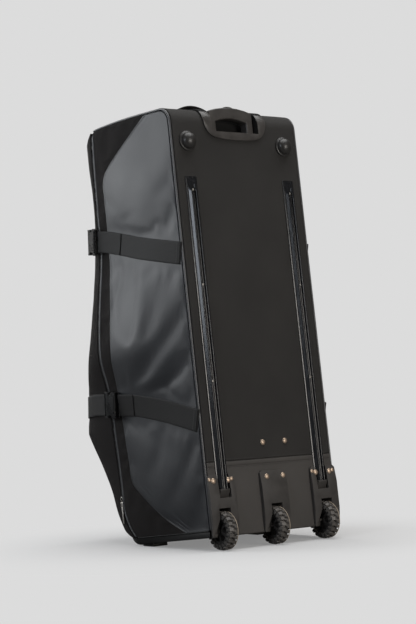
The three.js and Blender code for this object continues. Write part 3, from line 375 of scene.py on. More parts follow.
def round_section(radius, sides=12):
    """Points of a circle."""
    turn = 2 * math.pi * (np.arange(sides) + 0.5) / sides
    return np.stack([radius * np.cos(turn), radius * np.sin(turn)], -1)


def lathe_mesh(profile, middle, axis, sides=24):
    """Profile of (radius, height) turned about an axis through middle; it starts and ends on the axis."""
    profile = np.asarray(profile, float)
    axis = np.asarray(axis, float) / np.linalg.norm(axis)
    side = np.cross(axis, [0.0, 0.0, 1.0] if abs(axis[2]) < 0.9 else [0.0, 1.0, 0.0])
    side /= np.linalg.norm(side)
    other = np.cross(axis, side)
    turn = 2 * math.pi * np.arange(sides) / sides
    ring = np.cos(turn)[:, None] * side + np.sin(turn)[:, None] * other
    body = profile[1:-1]
    points = middle + body[:, :1, None] * ring[None] + body[:, 1:, None] * axis
    rows = len(body)
    poles = [middle + profile[0, 1] * axis, middle + profile[-1, 1] * axis]
    points = np.concatenate([points.reshape(-1, 3), poles])
    index = np.arange(sides)
    low = np.stack([np.full(sides, rows * sides), np.roll(index, -1), index], -1)
    top = (rows - 1) * sides + index
    high = np.stack([np.full(sides, rows * sides + 1), top, np.roll(top, -1)], -1)
    return points, outward(points, [grid_faces(rows, sides, wrap=True), low, high])


def rounded_box(size, radius, steps=3):
    """Box with rounded edges: each quarter turn of a small sphere is moved out to its own corner."""
    half = np.asarray(size) / 2 - radius
    quarter = np.linspace(0, math.pi / 2, steps + 1)
    turn = np.concatenate([quarter + k * math.pi / 2 for k in range(4)])
    sign_x = np.repeat([1, -1, -1, 1], steps + 1)
    sign_y = np.repeat([1, 1, -1, -1], steps + 1)
    tilt = np.concatenate([quarter - math.pi / 2, quarter])
    sign_z = np.repeat([-1, 1], steps + 1)
    x = sign_x * half[0] + radius * np.cos(tilt)[:, None] * np.cos(turn)
    y = sign_y * half[1] + radius * np.cos(tilt)[:, None] * np.sin(turn)
    z = np.broadcast_to((sign_z * half[2] + radius * np.sin(tilt))[:, None], x.shape)
    points = np.stack([x, y, z], -1)[1:-1]
    rows, columns = points.shape[:2]
    cap = np.arange(columns)
    faces = [grid_faces(rows, columns, wrap=True), cap[None, ::-1], (cap + (rows - 1) * columns)[None]]
    points = points.reshape(-1, 3)
    return points, outward(points, faces)


def joined(parts):
    """One mesh from several (points, faces) pairs."""
    points, faces, start = [], [], 0
    for part_points, part_faces in parts:
        points.append(part_points)
        faces += [np.asarray(block) + start for block in part_faces]
        start += len(part_points)
    return np.concatenate(points), faces


def add_form(name, parts, finish, **options):
    """One piece from several (points, faces) pairs."""
    points, faces = joined(parts)
    return add_mesh(name, points, faces, finish, **options)


def copies(template, origins, frames):
    """One mesh of a template put at each origin, with the three rows of each frame as its own axes."""
    points, faces = template
    placed = origins[:, None] + np.einsum("pk,nkj->npj", points, frames)
    steps = (np.arange(len(origins)) * len(points))[:, None, None]
    blocks = [(np.asarray(block)[None] + steps).reshape(-1, block.shape[1]) for block in faces]
    return placed.reshape(-1, 3), blocks


def placed(part, origin, frame_rows):
    """A (points, faces) pair moved into a frame given by its three axes as rows."""
    points, faces = part
    return np.asarray(origin) + points @ np.asarray(frame_rows, float), faces


def unit(vectors):
    """Vectors scaled to length one."""
    vectors = np.asarray(vectors, float)
    return vectors / np.maximum(np.linalg.norm(vectors, axis=-1, keepdims=True), 1e-12)


# Form of the body

def read_table(rows, key, column, place):
    """Cubic Hermite curve through the rows, with the slope at each row that of its neighbours' chord."""
    places = np.array([row[key] for row in rows])
    values = np.array([row[column] for row in rows])
    index = np.arange(len(rows))
    before, after = np.maximum(index - 1, 0), np.minimum(index + 1, len(rows) - 1)
    slopes = (values[after] - values[before]) / (places[after] - places[before])
    place = np.clip(place, places[0], places[-1])
    cell = np.clip(np.searchsorted(places, place, side="right") - 1, 0, len(rows) - 2)
    span = places[cell + 1] - places[cell]
    t = (place - places[cell]) / span
    return ((2 * t**3 - 3 * t**2 + 1) * values[cell] + (t**3 - 2 * t**2 + t) * span * slopes[cell]
            + (3 * t**2 - 2 * t**3) * values[cell + 1] + (t**3 - t**2) * span * slopes[cell + 1])


def section_at(column, z):
    """One column of the body's sections at heights z, in metres."""
    scale = {"zip": TUB_DEPTH, "front": BELLY_DEPTH, "bulge": SIDE_BULGE, "loft": SIDE_LOFT}[column]
    return read_table(SECTIONS, "height", column, np.asarray(z) / BODY_HEIGHT) * scale


def smooth_step(low, high, value):
    """Rises from 0 at low to 1 at high as 3t squared minus 2t cubed."""
    t = np.clip((value - low) / (high - low), 0, 1)
    return t * t * (3 - 2 * t)


def side_x(z, depth):
    """Half width of the side: a bulge that is full at 0.7 of the depth, with the loft as half a sine wave."""
    zip_depth = section_at("zip", z)
    reach = np.sin(math.pi / 2 * np.clip(depth / (0.7 * zip_depth), 0, 1))
    fullness = np.sin(math.pi * np.clip(depth / zip_depth, 0, 1))
    return BODY_WIDTH / 2 + section_at("bulge", z) * reach**2 + section_at("loft", z) * fullness


def side_top(depth, inset=0.0):
    """Upper line of the side: a quarter circle over the back bend, then a quarter sine wave that droops at
    the zip."""
    across = BACK_BEND - np.maximum(depth, inset)
    bend = BEND_HEIGHT + np.sqrt(np.maximum((BACK_BEND - inset) ** 2 - across**2, 0))
    along = np.clip((depth - BACK_BEND) / (TUB_DEPTH - BACK_BEND), 0, 1)
    droop = MOUTH_DROOP * smooth_step(TUB_DEPTH - 0.050, TUB_DEPTH, depth) ** 2
    top = BODY_HEIGHT + TOP_RISE * np.sin(math.pi / 2 * along) - inset - droop
    return np.where(depth < BACK_BEND, bend, top)


def top_end():
    """Depth of the top panel's front edge."""
    return float(section_at("zip", side_top(np.array(TUB_DEPTH)))) + RIM_BACK


def top_surface(x, depth):
    """Top line of the side with a crown: a half sine along the depth times a cosine across."""
    run = np.clip((depth - TOP_START) / (top_end() - TOP_START), 0, 1)
    share = np.clip(np.abs(x) / (BODY_WIDTH / 2), 0, 1)
    return side_top(depth) + TOP_CROWN * np.sin(math.pi * run) * np.cos(math.pi / 2 * share)


def strap_line(strap, depth):
    """Height of a strap's middle line at a depth."""
    return read_table(strap["line"], "depth", "height", np.asarray(depth) / TUB_DEPTH) * BODY_HEIGHT


def strap_slope(strap, depth):
    """Rise of a strap for each metre of depth."""
    return float(strap_line(strap, depth + SOCKET_LENGTH) - strap_line(strap, depth)) / SOCKET_LENGTH


def under_straps(z, depth):
    """1 where cloth lies under a strap, falling to 0 within 30 mm of its edges."""
    cover = np.zeros(np.broadcast(z, depth).shape)
    for strap in STRAPS.values():
        away = np.abs(z - strap_line(strap, depth)) - WEB_WIDTH / 2
        cover = np.maximum(cover, 1 - smooth_step(-0.002, 0.030, away))
    return cover


def soft_noise(a, b, size, seed):
    """Sum of seven slanted sine waves of about one size, from -1 to 1, the same on each run."""
    turns = np.random.default_rng(seed)
    total = 0.0
    for _ in range(7):
        angle, phase, stretch = turns.uniform(0, 2 * math.pi, 3) * [1, 1, 0.16] + [0, 0, 0.6]
        along = a * math.cos(angle) + b * math.sin(angle)
        total = total + np.sin(along * 2 * math.pi * stretch / size + phase)
    return total / 7


def side_relief(z, depth, seed):
    """Folds of the coated cloth: each a Gaussian ridge along its slope, plus soft unevenness."""
    relief = 0.0007 * soft_noise(depth, z, 0.13, seed)
    for fold in SIDE_FOLDS:
        slope = math.radians(fold["slope"])
        du = depth - fold["depth"] * TUB_DEPTH
        dz = z - fold["height"] * BODY_HEIGHT
        along = (-du * math.cos(slope) + dz * math.sin(slope)) / fold["run"]
        bend = 0.10 * fold["run"] * (along**2 - 0.4)
        beside = (du * math.sin(slope) + dz * math.cos(slope) - bend) / fold["spread"]
        relief = relief + fold["rise"] * np.exp(-along**2 - beside**2)
    edges = smooth_step(0.004, 0.035, depth) * smooth_step(SIDE_LOW, SIDE_LOW + 0.03, z)
    edges = edges * (1 - smooth_step(-0.03, -0.004, z - side_top(depth)))
    return relief * edges * (1 - under_straps(z, depth))


# Cloth simulation

def simulated(sheet, held, cloth_kind, direction):
    """Cloth simulation of a grid that is held where held is true: it is cut larger by its slack, hangs with
    part of its weight and is pushed out from inside. Gives how far each point moves, in the bag's frame."""
    rows, columns = sheet.shape[:2]
    start = to_row(sheet.reshape(-1, 3))
    faces = grid_faces(rows, columns)
    a, b, c = start[faces[:, 0]], start[faces[:, 1]], start[faces[:, 2]]
    if np.cross(b - a, c - a).sum(0) @ direction < 0:
        faces = faces[:, ::-1]
    mesh = bpy.data.meshes.new("cloth sheet")
    mesh.from_pydata(start.tolist(), [], faces.tolist())
    piece = bpy.data.objects.new("cloth sheet", mesh)
    scene = bpy.context.scene
    link_to_scene(piece)
    piece.vertex_groups.new(name="held").add(np.flatnonzero(held.ravel()).tolist(), 1.0, "REPLACE")
    cloth = piece.modifiers.new("cloth", "CLOTH")
    for setting, value in CLOTH_SETTINGS.items():
        setattr(cloth.settings, setting, value)
    cloth.settings.bending_stiffness = cloth_kind["bending"]
    cloth.settings.vertex_group_mass = "held"
    cloth.settings.shrink_min = -cloth_kind["slack"]
    cloth.settings.use_pressure = True
    cloth.settings.uniform_pressure_force = cloth_kind["push"]
    cloth.settings.effector_weights.gravity = cloth_kind["weight"]
    cloth.collision_settings.use_collision = False
    for step in range(1, CLOTH_FRAMES + 1):
        scene.frame_set(step)
    shape = piece.evaluated_get(bpy.context.evaluated_depsgraph_get()).to_mesh()
    place = np.zeros(rows * columns * 3, np.float32)
    shape.vertices.foreach_get("co", place)
    scene.frame_set(1)
    bpy.data.objects.remove(piece)
    bpy.data.meshes.remove(mesh)
    return unleaned(place.reshape(-1, 3) - start).reshape(rows, columns, 3)


def settled(sheet, held, cloth_kind, direction, stride):
    """How far a grid's cloth settles along a direction, held softly within the kind's cap by a hyperbolic
    tangent. Every stride-th row and column is simulated, and the rest lies straight between them."""
    rows, columns = sheet.shape[:2]
    row_at = np.unique(np.append(np.arange(0, rows, stride), rows - 1))
    column_at = np.unique(np.append(np.arange(0, columns, stride), columns - 1))
    held = held.copy()
    held[0] = held[-1] = True
    held[:, 0] = held[:, -1] = True
    direction = np.asarray(direction, float)
    sheet, held = sheet[row_at][:, column_at], held[row_at][:, column_at]
    moved = simulated(sheet, held, cloth_kind, direction) @ direction
    moved = cloth_kind["cap"] * np.tanh(moved / cloth_kind["cap"])
    part = np.stack([np.interp(np.arange(rows), row_at, line) for line in moved.T], 1)
    return np.stack([np.interp(np.arange(columns), column_at, line) for line in part])


# Finishes

def make_finish(name, colour, roughness, metallic=0.0, specular=0.5, coat=0.0, coat_roughness=0.1, sheen=0.0):
    """Principled material; single-valued numbers stay on the shader's own sockets."""
    material = bpy.data.materials.new(name)
    material.use_nodes = True
    shader = material.node_tree.nodes["Principled BSDF"]
    shader.inputs["Base Color"].default_value = (*colour, 1)
    shader.inputs["Roughness"].default_value = roughness
    shader.inputs["Metallic"].default_value = metallic
    shader.inputs["Specular IOR Level"].default_value = specular
    shader.inputs["Coat Weight"].default_value = coat
    shader.inputs["Coat Roughness"].default_value = coat_roughness
    shader.inputs["Sheen Weight"].default_value = sheen
    shader.inputs["Sheen Roughness"].default_value = 0.5
    return material


class Pattern:
    """Short way to add nodes to a material: each method returns an output socket."""

    def __init__(self, material):
        self.tree = material.node_tree
        self.shader = self.tree.nodes["Principled BSDF"]

    def add(self, kind, settings=None, **inputs):
        node = self.tree.nodes.new(kind)
        for key, value in (settings or {}).items():
            setattr(node, key, value)
        for key, value in inputs.items():
            socket = node.inputs[int(key[1:]) if key[1:].isdigit() else key.replace("_", " ")]
            if isinstance(value, bpy.types.NodeSocket):
                self.tree.links.new(value, socket)
            else:
                socket.default_value = value
        return node

    def places(self, use_uv=False, scale=(1, 1, 1), turn=0.0):
        source = self.add("ShaderNodeTexCoord").outputs["UV" if use_uv else "Object"]
        mapping = self.add("ShaderNodeMapping", Vector=source, Scale=scale, Rotation=(0, 0, turn))
        return mapping.outputs["Vector"]

    def noise(self, vector, scale, detail=3.0, rough=0.5):
        node = self.add("ShaderNodeTexNoise", Vector=vector, Scale=scale, Detail=detail, Roughness=rough)
        return node.outputs["Fac"]

    def wave(self, vector, scale, direction="X", distortion=0.0):
        node = self.add("ShaderNodeTexWave", {"bands_direction": direction}, Vector=vector, Scale=scale,
                        Distortion=distortion)
        return node.outputs["Fac"]

    def maths(self, operation, a, b=0.0):
        return self.add("ShaderNodeMath", {"operation": operation}, _0=a, _1=b).outputs[0]

    def ramp(self, value, low, high, start=0.3, end=0.7):
        node = self.add("ShaderNodeMapRange", Value=value)
        node.inputs["From Min"].default_value = start
        node.inputs["From Max"].default_value = end
        node.inputs["To Min"].default_value = low
        node.inputs["To Max"].default_value = high
        return node.outputs["Result"]

    def tint(self, value, dark, light, start=0.3, end=0.7):
        node = self.add("ShaderNodeValToRGB", Fac=value)
        node.color_ramp.elements[0].position = start
        node.color_ramp.elements[0].color = (*dark, 1)
        node.color_ramp.elements[1].position = end
        node.color_ramp.elements[1].color = (*light, 1)
        self.tree.links.new(node.outputs["Color"], self.shader.inputs["Base Color"])

    def roughness(self, value, low, high, start=0.3, end=0.7):
        self.tree.links.new(self.ramp(value, low, high, start, end), self.shader.inputs["Roughness"])

    def bump(self, *layers):
        """Layers are (height, distance in metres, strength), each laid over the one before."""
        normal = None
        for height, distance, strength in layers:
            inputs = {"Height": height, "Distance": distance, "Strength": strength}
            if normal is not None:
                inputs["Normal"] = normal
            normal = self.add("ShaderNodeBump", **inputs).outputs["Normal"]
        self.tree.links.new(normal, self.shader.inputs["Normal"])


def shade(colour, factor):
    """A colour made lighter or darker."""
    return tuple(channel * factor for channel in colour)


def coated_cloth_finish():
    """Satin tarpaulin: a fine pebbled coat over soft unevenness, slightly patchy in gloss."""
    colour = (0.0205, 0.0222, 0.0262)
    material = make_finish("coated cloth", colour, 0.44, specular=0.56)
    nodes = Pattern(material)
    place = nodes.places()
    patches = nodes.noise(place, 9, 4)
    pebble = nodes.noise(place, 900, 2)
    nodes.tint(patches, shade(colour, 0.88), shade(colour, 1.10))
    nodes.roughness(patches, 0.41, 0.48)
    nodes.bump((nodes.noise(place, 24, 3), 0.0012, 0.10), (pebble, 0.00016, 0.5))
    return material


def woven_finish(name, colour, roughness, pitch, rise=0.00025, sheen=0.0, specular=0.35):
    """Plain weave: two square sets of threads on the piece's own UV map, in metres, with slubs."""
    material = make_finish(name, colour, roughness, specular=specular, sheen=sheen)
    nodes = Pattern(material)
    cloth = nodes.places(use_uv=True)
    place = nodes.places()
    warp = nodes.wave(cloth, math.pi / (10 * pitch), "X", 0.4)
    weft = nodes.wave(cloth, math.pi / (10 * pitch), "Y", 0.4)
    weave = nodes.maths("MULTIPLY", warp, weft)
    slub = nodes.noise(place, 260, 3)
    patches = nodes.noise(place, 7, 3)
    mixed = nodes.maths("ADD", nodes.maths("MULTIPLY", weave, 0.45), nodes.maths("MULTIPLY", patches, 0.75))
    nodes.tint(mixed, shade(colour, 0.70), shade(colour, 1.30), 0.2, 0.85)
    nodes.bump((slub, 0.0004, 0.25), (weave, rise, 0.8))
    return material


def webbing_finish():
    """Woven strap: fine ribs across it and raised cords along it, on a UV map in metres."""
    colour = (0.0155, 0.0147, 0.0140)
    material = make_finish("webbing", colour, 0.62, specular=0.3)
    nodes = Pattern(material)
    cloth = nodes.places(use_uv=True)
    ribs = nodes.wave(cloth, math.pi / (10 * 0.0022), "X", 0.3)
    cords = nodes.wave(cloth, math.pi / (10 * 0.0030), "Y", 0.2)
    weave = nodes.maths("ADD", nodes.maths("MULTIPLY", ribs, 0.5), nodes.maths("MULTIPLY", cords, 0.6))
    patches = nodes.noise(nodes.places(), 30, 3)
    nodes.tint(nodes.maths("ADD", nodes.maths("MULTIPLY", weave, 0.5), nodes.maths("MULTIPLY", patches, 0.5)),
               shade(colour, 0.80), shade(colour, 1.22), 0.25, 0.8)
    nodes.bump((weave, 0.00022, 0.7))
    return material


def moulded_finish(name, colour, roughness, grain=0.00006, **options):
    """Moulded plastic or rubber: fine spark grain and a little dust in its colour."""
    material = make_finish(name, colour, roughness, **options)
    nodes = Pattern(material)
    place = nodes.places()
    dust = nodes.noise(place, 35, 5, 0.6)
    nodes.tint(dust, shade(colour, 0.82), shade(colour, 1.22))
    nodes.roughness(dust, roughness * 0.88, roughness * 1.14)
    nodes.bump((nodes.noise(place, 1400, 2), grain, 0.6))
    return material


def metal_finish(name, colour, roughness):
    """Brushed metal: scratches as noise stretched along one axis."""
    material = make_finish(name, colour, roughness, metallic=1.0)
    nodes = Pattern(material)
    place = nodes.places(scale=(1, 1, 0.05))
    scratch = nodes.noise(place, 1500, 2)
    nodes.roughness(scratch, roughness * 0.8, roughness * 1.3)
    nodes.tint(nodes.noise(nodes.places(), 60, 3), shade(colour, 0.9), shade(colour, 1.05))
    nodes.bump((scratch, 0.00003, 0.4))
    return material


def rail_finish():
    """Polished plastic with faint long ripples and scuffs along the rail."""
    colour = (0.010, 0.0105, 0.012)
    material = make_finish("polished rail", colour, 0.22, specular=0.5, coat=0.25, coat_roughness=0.14)
    nodes = Pattern(material)
    ripple = nodes.noise(nodes.places(scale=(1, 1, 0.25)), 70, 3)
    scuff = nodes.noise(nodes.places(scale=(1, 1, 0.03)), 500, 4, 0.7)
    nodes.roughness(scuff, 0.18, 0.38, 0.45, 0.8)
    nodes.tint(scuff, colour, shade(colour, 2.2), 0.5, 0.8)
    nodes.bump((ripple, 0.0004, 0.12))
    return material


coated_cloth = coated_cloth_finish()
lid_cloth = woven_finish("black cloth", (0.0235, 0.0208, 0.0200), 0.70, 0.0009, specular=0.08)
back_cloth = woven_finish("back cloth", (0.030, 0.0283, 0.0266), 0.72, 0.0011, 0.0003)
lower_cloth = woven_finish("lower cloth", (0.064, 0.0592, 0.0552), 0.55, 0.0007, 0.0001, specular=0.4)
webbing = webbing_finish()
piping_finish = moulded_finish("piping", (0.115, 0.115, 0.117), 0.30, specular=0.6)
side_piping_finish = moulded_finish("side piping", (0.085, 0.086, 0.090), 0.32, specular=0.6)
plastic = moulded_finish("moulded plastic", (0.054, 0.0500, 0.0470), 0.55, specular=0.32)
buckle_plastic = moulded_finish("buckle plastic", (0.005, 0.005, 0.0052), 0.28, specular=0.26)
rubber = moulded_finish("rubber", (0.030, 0.0285, 0.0270), 0.34, 0.00004, specular=0.5)
grip_plastic = moulded_finish("grip plastic", (0.060, 0.0555, 0.0520), 0.34, specular=0.5)
# Near-black finish painted on the handle cup's deep faces as shade.
painted_recess_shade = moulded_finish("painted recess shade", (0.006, 0.0057, 0.0054), 0.7, specular=0.15)
corner_rubber = moulded_finish("corner rubber", (0.008, 0.0078, 0.0076), 0.30, specular=0.45)
base_plastic = moulded_finish("base plastic", (0.008, 0.0077, 0.0074), 0.46, specular=0.25)
tyre_rubber = moulded_finish("tyre rubber", (0.118, 0.1090, 0.1000), 0.44, 0.0003, specular=0.5)
mould_line = moulded_finish("tyre mould line", (0.42, 0.35, 0.27), 0.6)
hub_plastic = moulded_finish("hub plastic", (0.045, 0.0420, 0.0395), 0.40)
rail_plastic = rail_finish()
steel = metal_finish("rivet steel", (0.55, 0.52, 0.48), 0.38)
rivet_metal = metal_finish("rivet brass", (0.66, 0.52, 0.40), 0.48)
aluminium = metal_finish("aluminium", (0.62, 0.62, 0.64), 0.34)
thread = moulded_finish("thread", (0.045, 0.043, 0.041), 0.7)
zip_plastic = moulded_finish("zip teeth", (0.018, 0.018, 0.019), 0.28, specular=0.6)


# Cloth of the sides

SIDES = [("left", 1.0, 11), ("right", -1.0, 29)]


def side_height(up, depth):
    """Height at a share up between the side's lower edge and its top line."""
    return SIDE_LOW + up * (side_top(depth, SEAM_INSET) - SIDE_LOW)


def side_points(side, up, depth, inward, relief=0.0):
    """Points of a side at a share up its height and a depth, moved in by inward."""
    z = side_height(up, depth)
    return at(side * (side_x(z, depth) + relief - inward), depth, z)


def edge_depth(up):
    """Depth of the coated panel's front edge at a share of the side's height."""
    return read_table(PANEL_EDGE, "up", "depth", up) * TUB_DEPTH


def make_side_panel(name, side, seed):
    """Coated cloth, folded, with its turned front edge laid a little over the black cloth."""
    up = np.linspace(0, 1, 260)[:, None]
    share = np.linspace(0, 1, 110)[None, :]
    depth = SEAM_INSET + share * (edge_depth(up) - GAP - SEAM_INSET)
    z = side_height(up, depth)
    from_edge = edge_depth(up) - depth
    turned = 0.0005 * smooth_step(0.010, 0.0075, from_edge) * smooth_step(0.10, 0.22, up)
    dimple = -0.0006 * np.exp(-((from_edge - 0.006) / 0.0012) ** 2)
    relief = side_relief(z, depth, seed)
    covered = under_straps(z, depth)
    sheet = side_points(side, up, depth, 0, relief)
    settling = settled(sheet, covered > HELD_COVER, COATED_KIND, (side, 0, 0), 2)
    relief = relief + settling * (1 - covered) * (1 - CALM_SHARE * smooth_step(*CALM_TOP, up))
    relief = relief + turned + dimple
    piece = add_wall(f"side_cloth_{name}", side_points(side, up, depth, 0, relief),
                     side_points(side, up, depth, CLOTH_WALL, relief * 0.6), coated_cloth,
                     replaces=[f"side_panel_{name}"], slot="coated_cloth")


def make_gusset(name, side, seed):
    """Black cloth between the coated panel and the rim piping, drawn in along both seams."""
    up = np.linspace(0, 1, 260)[:, None]
    share = np.linspace(0, 1, 34)[None, :]
    start = edge_depth(up) + GAP / 2
    z_front = side_height(up, np.array(TUB_DEPTH))
    depth = start + share * (section_at("zip", z_front) + RIM_BACK - start)
    z = side_height(up, depth)
    between = np.sin(math.pi * share)
    covered = under_straps(z, depth)
    relief = (0.0007 * soft_noise(depth, z * 0.5, 0.05, seed + 5) + 0.0006) * between * (1 - covered)
    sheet = side_points(side, up, depth, 0, relief)
    relief = relief + settled(sheet, covered > HELD_COVER, BLACK_KIND, (side, 0, 0), 2) * (1 - covered)
    piece = add_wall(f"gusset_cloth_{name}", side_points(side, up, depth, 0, relief),
                     side_points(side, up, depth, CLOTH_WALL, relief * 0.6), lid_cloth,
                     replaces=[f"gusset_{name}"], slot="black_cloth")


# Front lid

def lid_rows(count_edge=14, count_middle=280):
    """Heights and rises of the lid's rows: a quarter turn at its bottom edge, plain rows, a quarter turn."""
    turn = np.linspace(0, math.pi / 2, count_edge)
    low = LID_BOTTOM + LID_BOTTOM_ROUND * (1 - np.cos(turn))
    top = side_top(np.array(TUB_DEPTH))
    high = top - LID_TOP_ROUND * (1 - np.cos(turn[::-1]))
    middle = np.linspace(low[-1], high[0], count_middle)[1:-1]
    z = np.concatenate([low, middle, high])
    rise = np.concatenate([np.sin(turn), np.ones(len(middle)), np.sin(turn[::-1])])
    return z, rise


def lid_points(z, rise, turn, across, side, inward, relief=0.0):
    """Points of the lid: depth rises from the zip to the front by sin(turn); x follows a quarter ellipse
    at the sides (side not 0) and a straight share across between them."""
    front, zip_depth = section_at("front", z), section_at("zip", z)
    half = BODY_WIDTH / 2 + section_at("bulge", z) - inward
    rounded = side * (half - LID_SIDE_ROUND * (1 - np.cos(turn)))
    x = np.where(side != 0, rounded, across * (half - LID_SIDE_ROUND))
    back = zip_depth + LID_BACK
    crown = LID_CROWN * (1 - (x / half) ** 2)
    depth = back + (front + crown - inward + relief - back) * rise * np.sin(turn)
    return at(x, depth, z)


def lid_relief(z, x, seed):
    """Long creases down the lid and folds that fan out from the straps, drawn in under them."""
    creases = 0.0034 * soft_noise(x, z * 0.35, 0.11, seed) + 0.0014 * soft_noise(x, z * 0.6, 0.045, seed + 1)
    fan = 0.0
    for strap in STRAPS.values():
        away = z - strap_line(strap, 1.2 * TUB_DEPTH)
        reach = np.exp(-((np.abs(away) - 0.045) / 0.028) ** 2)
        fan = fan + 0.0014 * reach * soft_noise(x + 0.15 * away, 0.4 * z, 0.038, seed + 2)
    cover = under_straps(z, np.full_like(z, 1.2 * TUB_DEPTH))
    knee = 0.0020 * np.exp(-((z - 0.287 * BODY_HEIGHT) / 0.008) ** 2)
    return (creases + fan + knee) * (1 - cover)


def make_lid():
    """One bulging tray of black cloth, open at the back."""
    z, rise = lid_rows()
    quarter = np.linspace(0, math.pi / 2, 26)
    middle = np.linspace(1, -1, 110)[1:-1]
    turn = np.concatenate([quarter, np.full(len(middle), math.pi / 2), quarter[::-1]])
    across = np.concatenate([np.ones(26), middle, -np.ones(26)])
    side = np.concatenate([np.ones(26), np.zeros(len(middle)), -np.ones(26)])
    z, rise = z[:, None], rise[:, None]
    turn, across, side = turn[None], across[None], side[None]
    plain = lid_points(z, rise, turn, across, side, 0.0)
    edge = np.sin(turn) * smooth_step(0.2, 1.0, rise)
    relief = lid_relief(np.broadcast_to(z, plain.shape[:2]), plain[..., 0], 47) * edge
    covered = under_straps(np.broadcast_to(z, relief.shape), 1.2 * TUB_DEPTH)
    sheet = lid_points(z, rise, turn, across, side, 0.0, relief)
    relief = relief + settled(sheet, covered > HELD_COVER, BLACK_KIND, (0, -1, 0), 3) * (1 - covered) * edge
    outer = lid_points(z, rise, turn, across, side, 0.0, relief)
    drawn_in = np.where(rise < 1, np.where(z < BODY_HEIGHT / 2, CLOTH_WALL, -CLOTH_WALL), 0)
    inner = lid_points(z + drawn_in, rise, turn, across, side, CLOTH_WALL, relief)
    piece = add_wall("lid_cloth", outer, inner, lid_cloth, replaces=["front_lid"], slot="black_cloth")


# Back and top

def back_profile(count_bend=14):
    """Depth, height and outward turn along the back panel: up the back, round the bend, along the top."""
    turn = np.linspace(0, math.pi / 2, count_bend)
    up = np.linspace(SEAM_HEIGHT + GAP / 2, BEND_HEIGHT, 240)[:-1]
    along = np.linspace(BACK_BEND, BACK_BEND + BACK_TOP_RUN, 5)[1:]
    depth = np.concatenate([np.zeros(len(up)), BACK_BEND * (1 - np.cos(turn)), along])
    z = np.concatenate([up, BEND_HEIGHT + BACK_BEND * np.sin(turn), np.full(4, BODY_HEIGHT)])
    lean = np.concatenate([np.zeros(len(up)), turn, np.full(4, math.pi / 2)])
    return depth, z, lean


# The handle cup with its rim, its recess (its deep faces painted black as shade), the wheel wells and the
# stiff board
CUP_REACH = 0.066
CUP_FOOT = 0.902
CUP_RIM = 0.0025
CUP_HALF = CUP_REACH + CUP_RIM + GAP
CUP_LOW = CUP_FOOT - CUP_RIM - GAP
RECESS_DEPTH = 0.008
WELL_HALF = 0.0195 + GAP
WELL_TOP = 0.0695 + GAP
BOARD_WALL = 0.0038

# The grab handle, and where the top cloth is drawn in by its sewn ends
GRAB_DEPTH = 0.165
GRAB_REACH = 0.065
GRAB_SEWN = 0.024
GRAB_RISE = 0.026
GRAB_WIDTH = 0.038
GRAB_WALL = 0.0036
SEWN_PLACE = GRAB_REACH + GRAB_SEWN / 2
SEWN_DRAW = 0.0016


def graded(*stops):
    """Numbers from stop to stop, given as value, count, value, count, ... value."""
    starts = range(0, len(stops) - 1, 2)
    values = [np.linspace(stops[k], stops[k + 2], stops[k + 1], endpoint=False) for k in starts]
    return np.concatenate([*values, [stops[-1]]])


def make_back_panel():
    """Woven panel over a stiff board, softly uneven, with a notch at the top for the handle cup."""
    depth, z, lean = back_profile()
    half = BODY_WIDTH / 2 - SEAM_INSET
    x = graded(-half, 24, -CUP_HALF, 30, CUP_HALF, 24, half)[None, :]
    d, h, t = depth[:, None], z[:, None], lean[:, None]
    sink = 0.0006 * soft_noise(x, h, 0.16, 3) * smooth_step(0, 0.03, half - np.abs(x))
    outer = at(x, d - sink * np.cos(t), h + sink * np.sin(t))
    inner = at(x, d + BOARD_WALL * np.cos(t), h - BOARD_WALL * np.sin(t))
    middle_x = (x[0, 1:] + x[0, :-1]) / 2
    middle_row = (np.arange(len(z) - 1) + 0.5)[:, None]
    notch = (np.abs(middle_x) < CUP_HALF)[None, :] & (middle_row > np.searchsorted(z, CUP_LOW))
    run = run_along(np.stack([depth, z], -1)) + z[0]
    uv = np.stack(np.broadcast_arrays(x, run[:, None]), -1)
    add_wall("back_cloth", outer, inner, back_cloth, kept=~notch, uv=uv, replaces=["back_panel"],
             slot="back_cloth")


def make_lower_back():
    """Smooth coated panel below the seam, cut out round the wheel wells, with a rolled upper edge."""
    half = BODY_WIDTH / 2 - SEAM_INSET
    wheel_x = BODY_WIDTH / 2 - WHEEL_INSET
    x = graded(-half, 8, -wheel_x - WELL_HALF, 6, -wheel_x + WELL_HALF, 16, -WELL_HALF, 6, WELL_HALF, 16,
               wheel_x - WELL_HALF, 6, wheel_x + WELL_HALF, 8, half)[None, :]
    z = graded(BASE_UNDER, 20, WELL_TOP, 40, SEAM_HEIGHT - 0.012, 24, SEAM_HEIGHT - GAP / 2)[:, None]
    roll = 0.0011 * np.sqrt(np.clip(1 - ((z - (SEAM_HEIGHT - 0.005)) / 0.005) ** 2, 0, 1))
    bulge = 0.0008 * soft_noise(x, z, 0.12, 8) * smooth_step(0, 0.02, half - np.abs(x))
    outer = at(x, -roll - bulge * smooth_step(0.010, 0.016, SEAM_HEIGHT - z), z)
    middle_x = (x[0, 1:] + x[0, :-1]) / 2
    middle_z = (z[1:, 0] + z[:-1, 0]) / 2
    in_well = sum(np.abs(middle_x - centre) < WELL_HALF for centre in (-wheel_x, 0, wheel_x)) > 0
    cut = in_well[None, :] & (middle_z < WELL_TOP)[:, None]
    uv = np.stack(np.broadcast_arrays(x, z), -1)
    add_wall("lower_back_cloth", outer, at(x, BOARD_WALL, z), lower_cloth, kept=~cut, uv=uv,
             replaces=["lower_back_panel"], slot="lower_cloth")


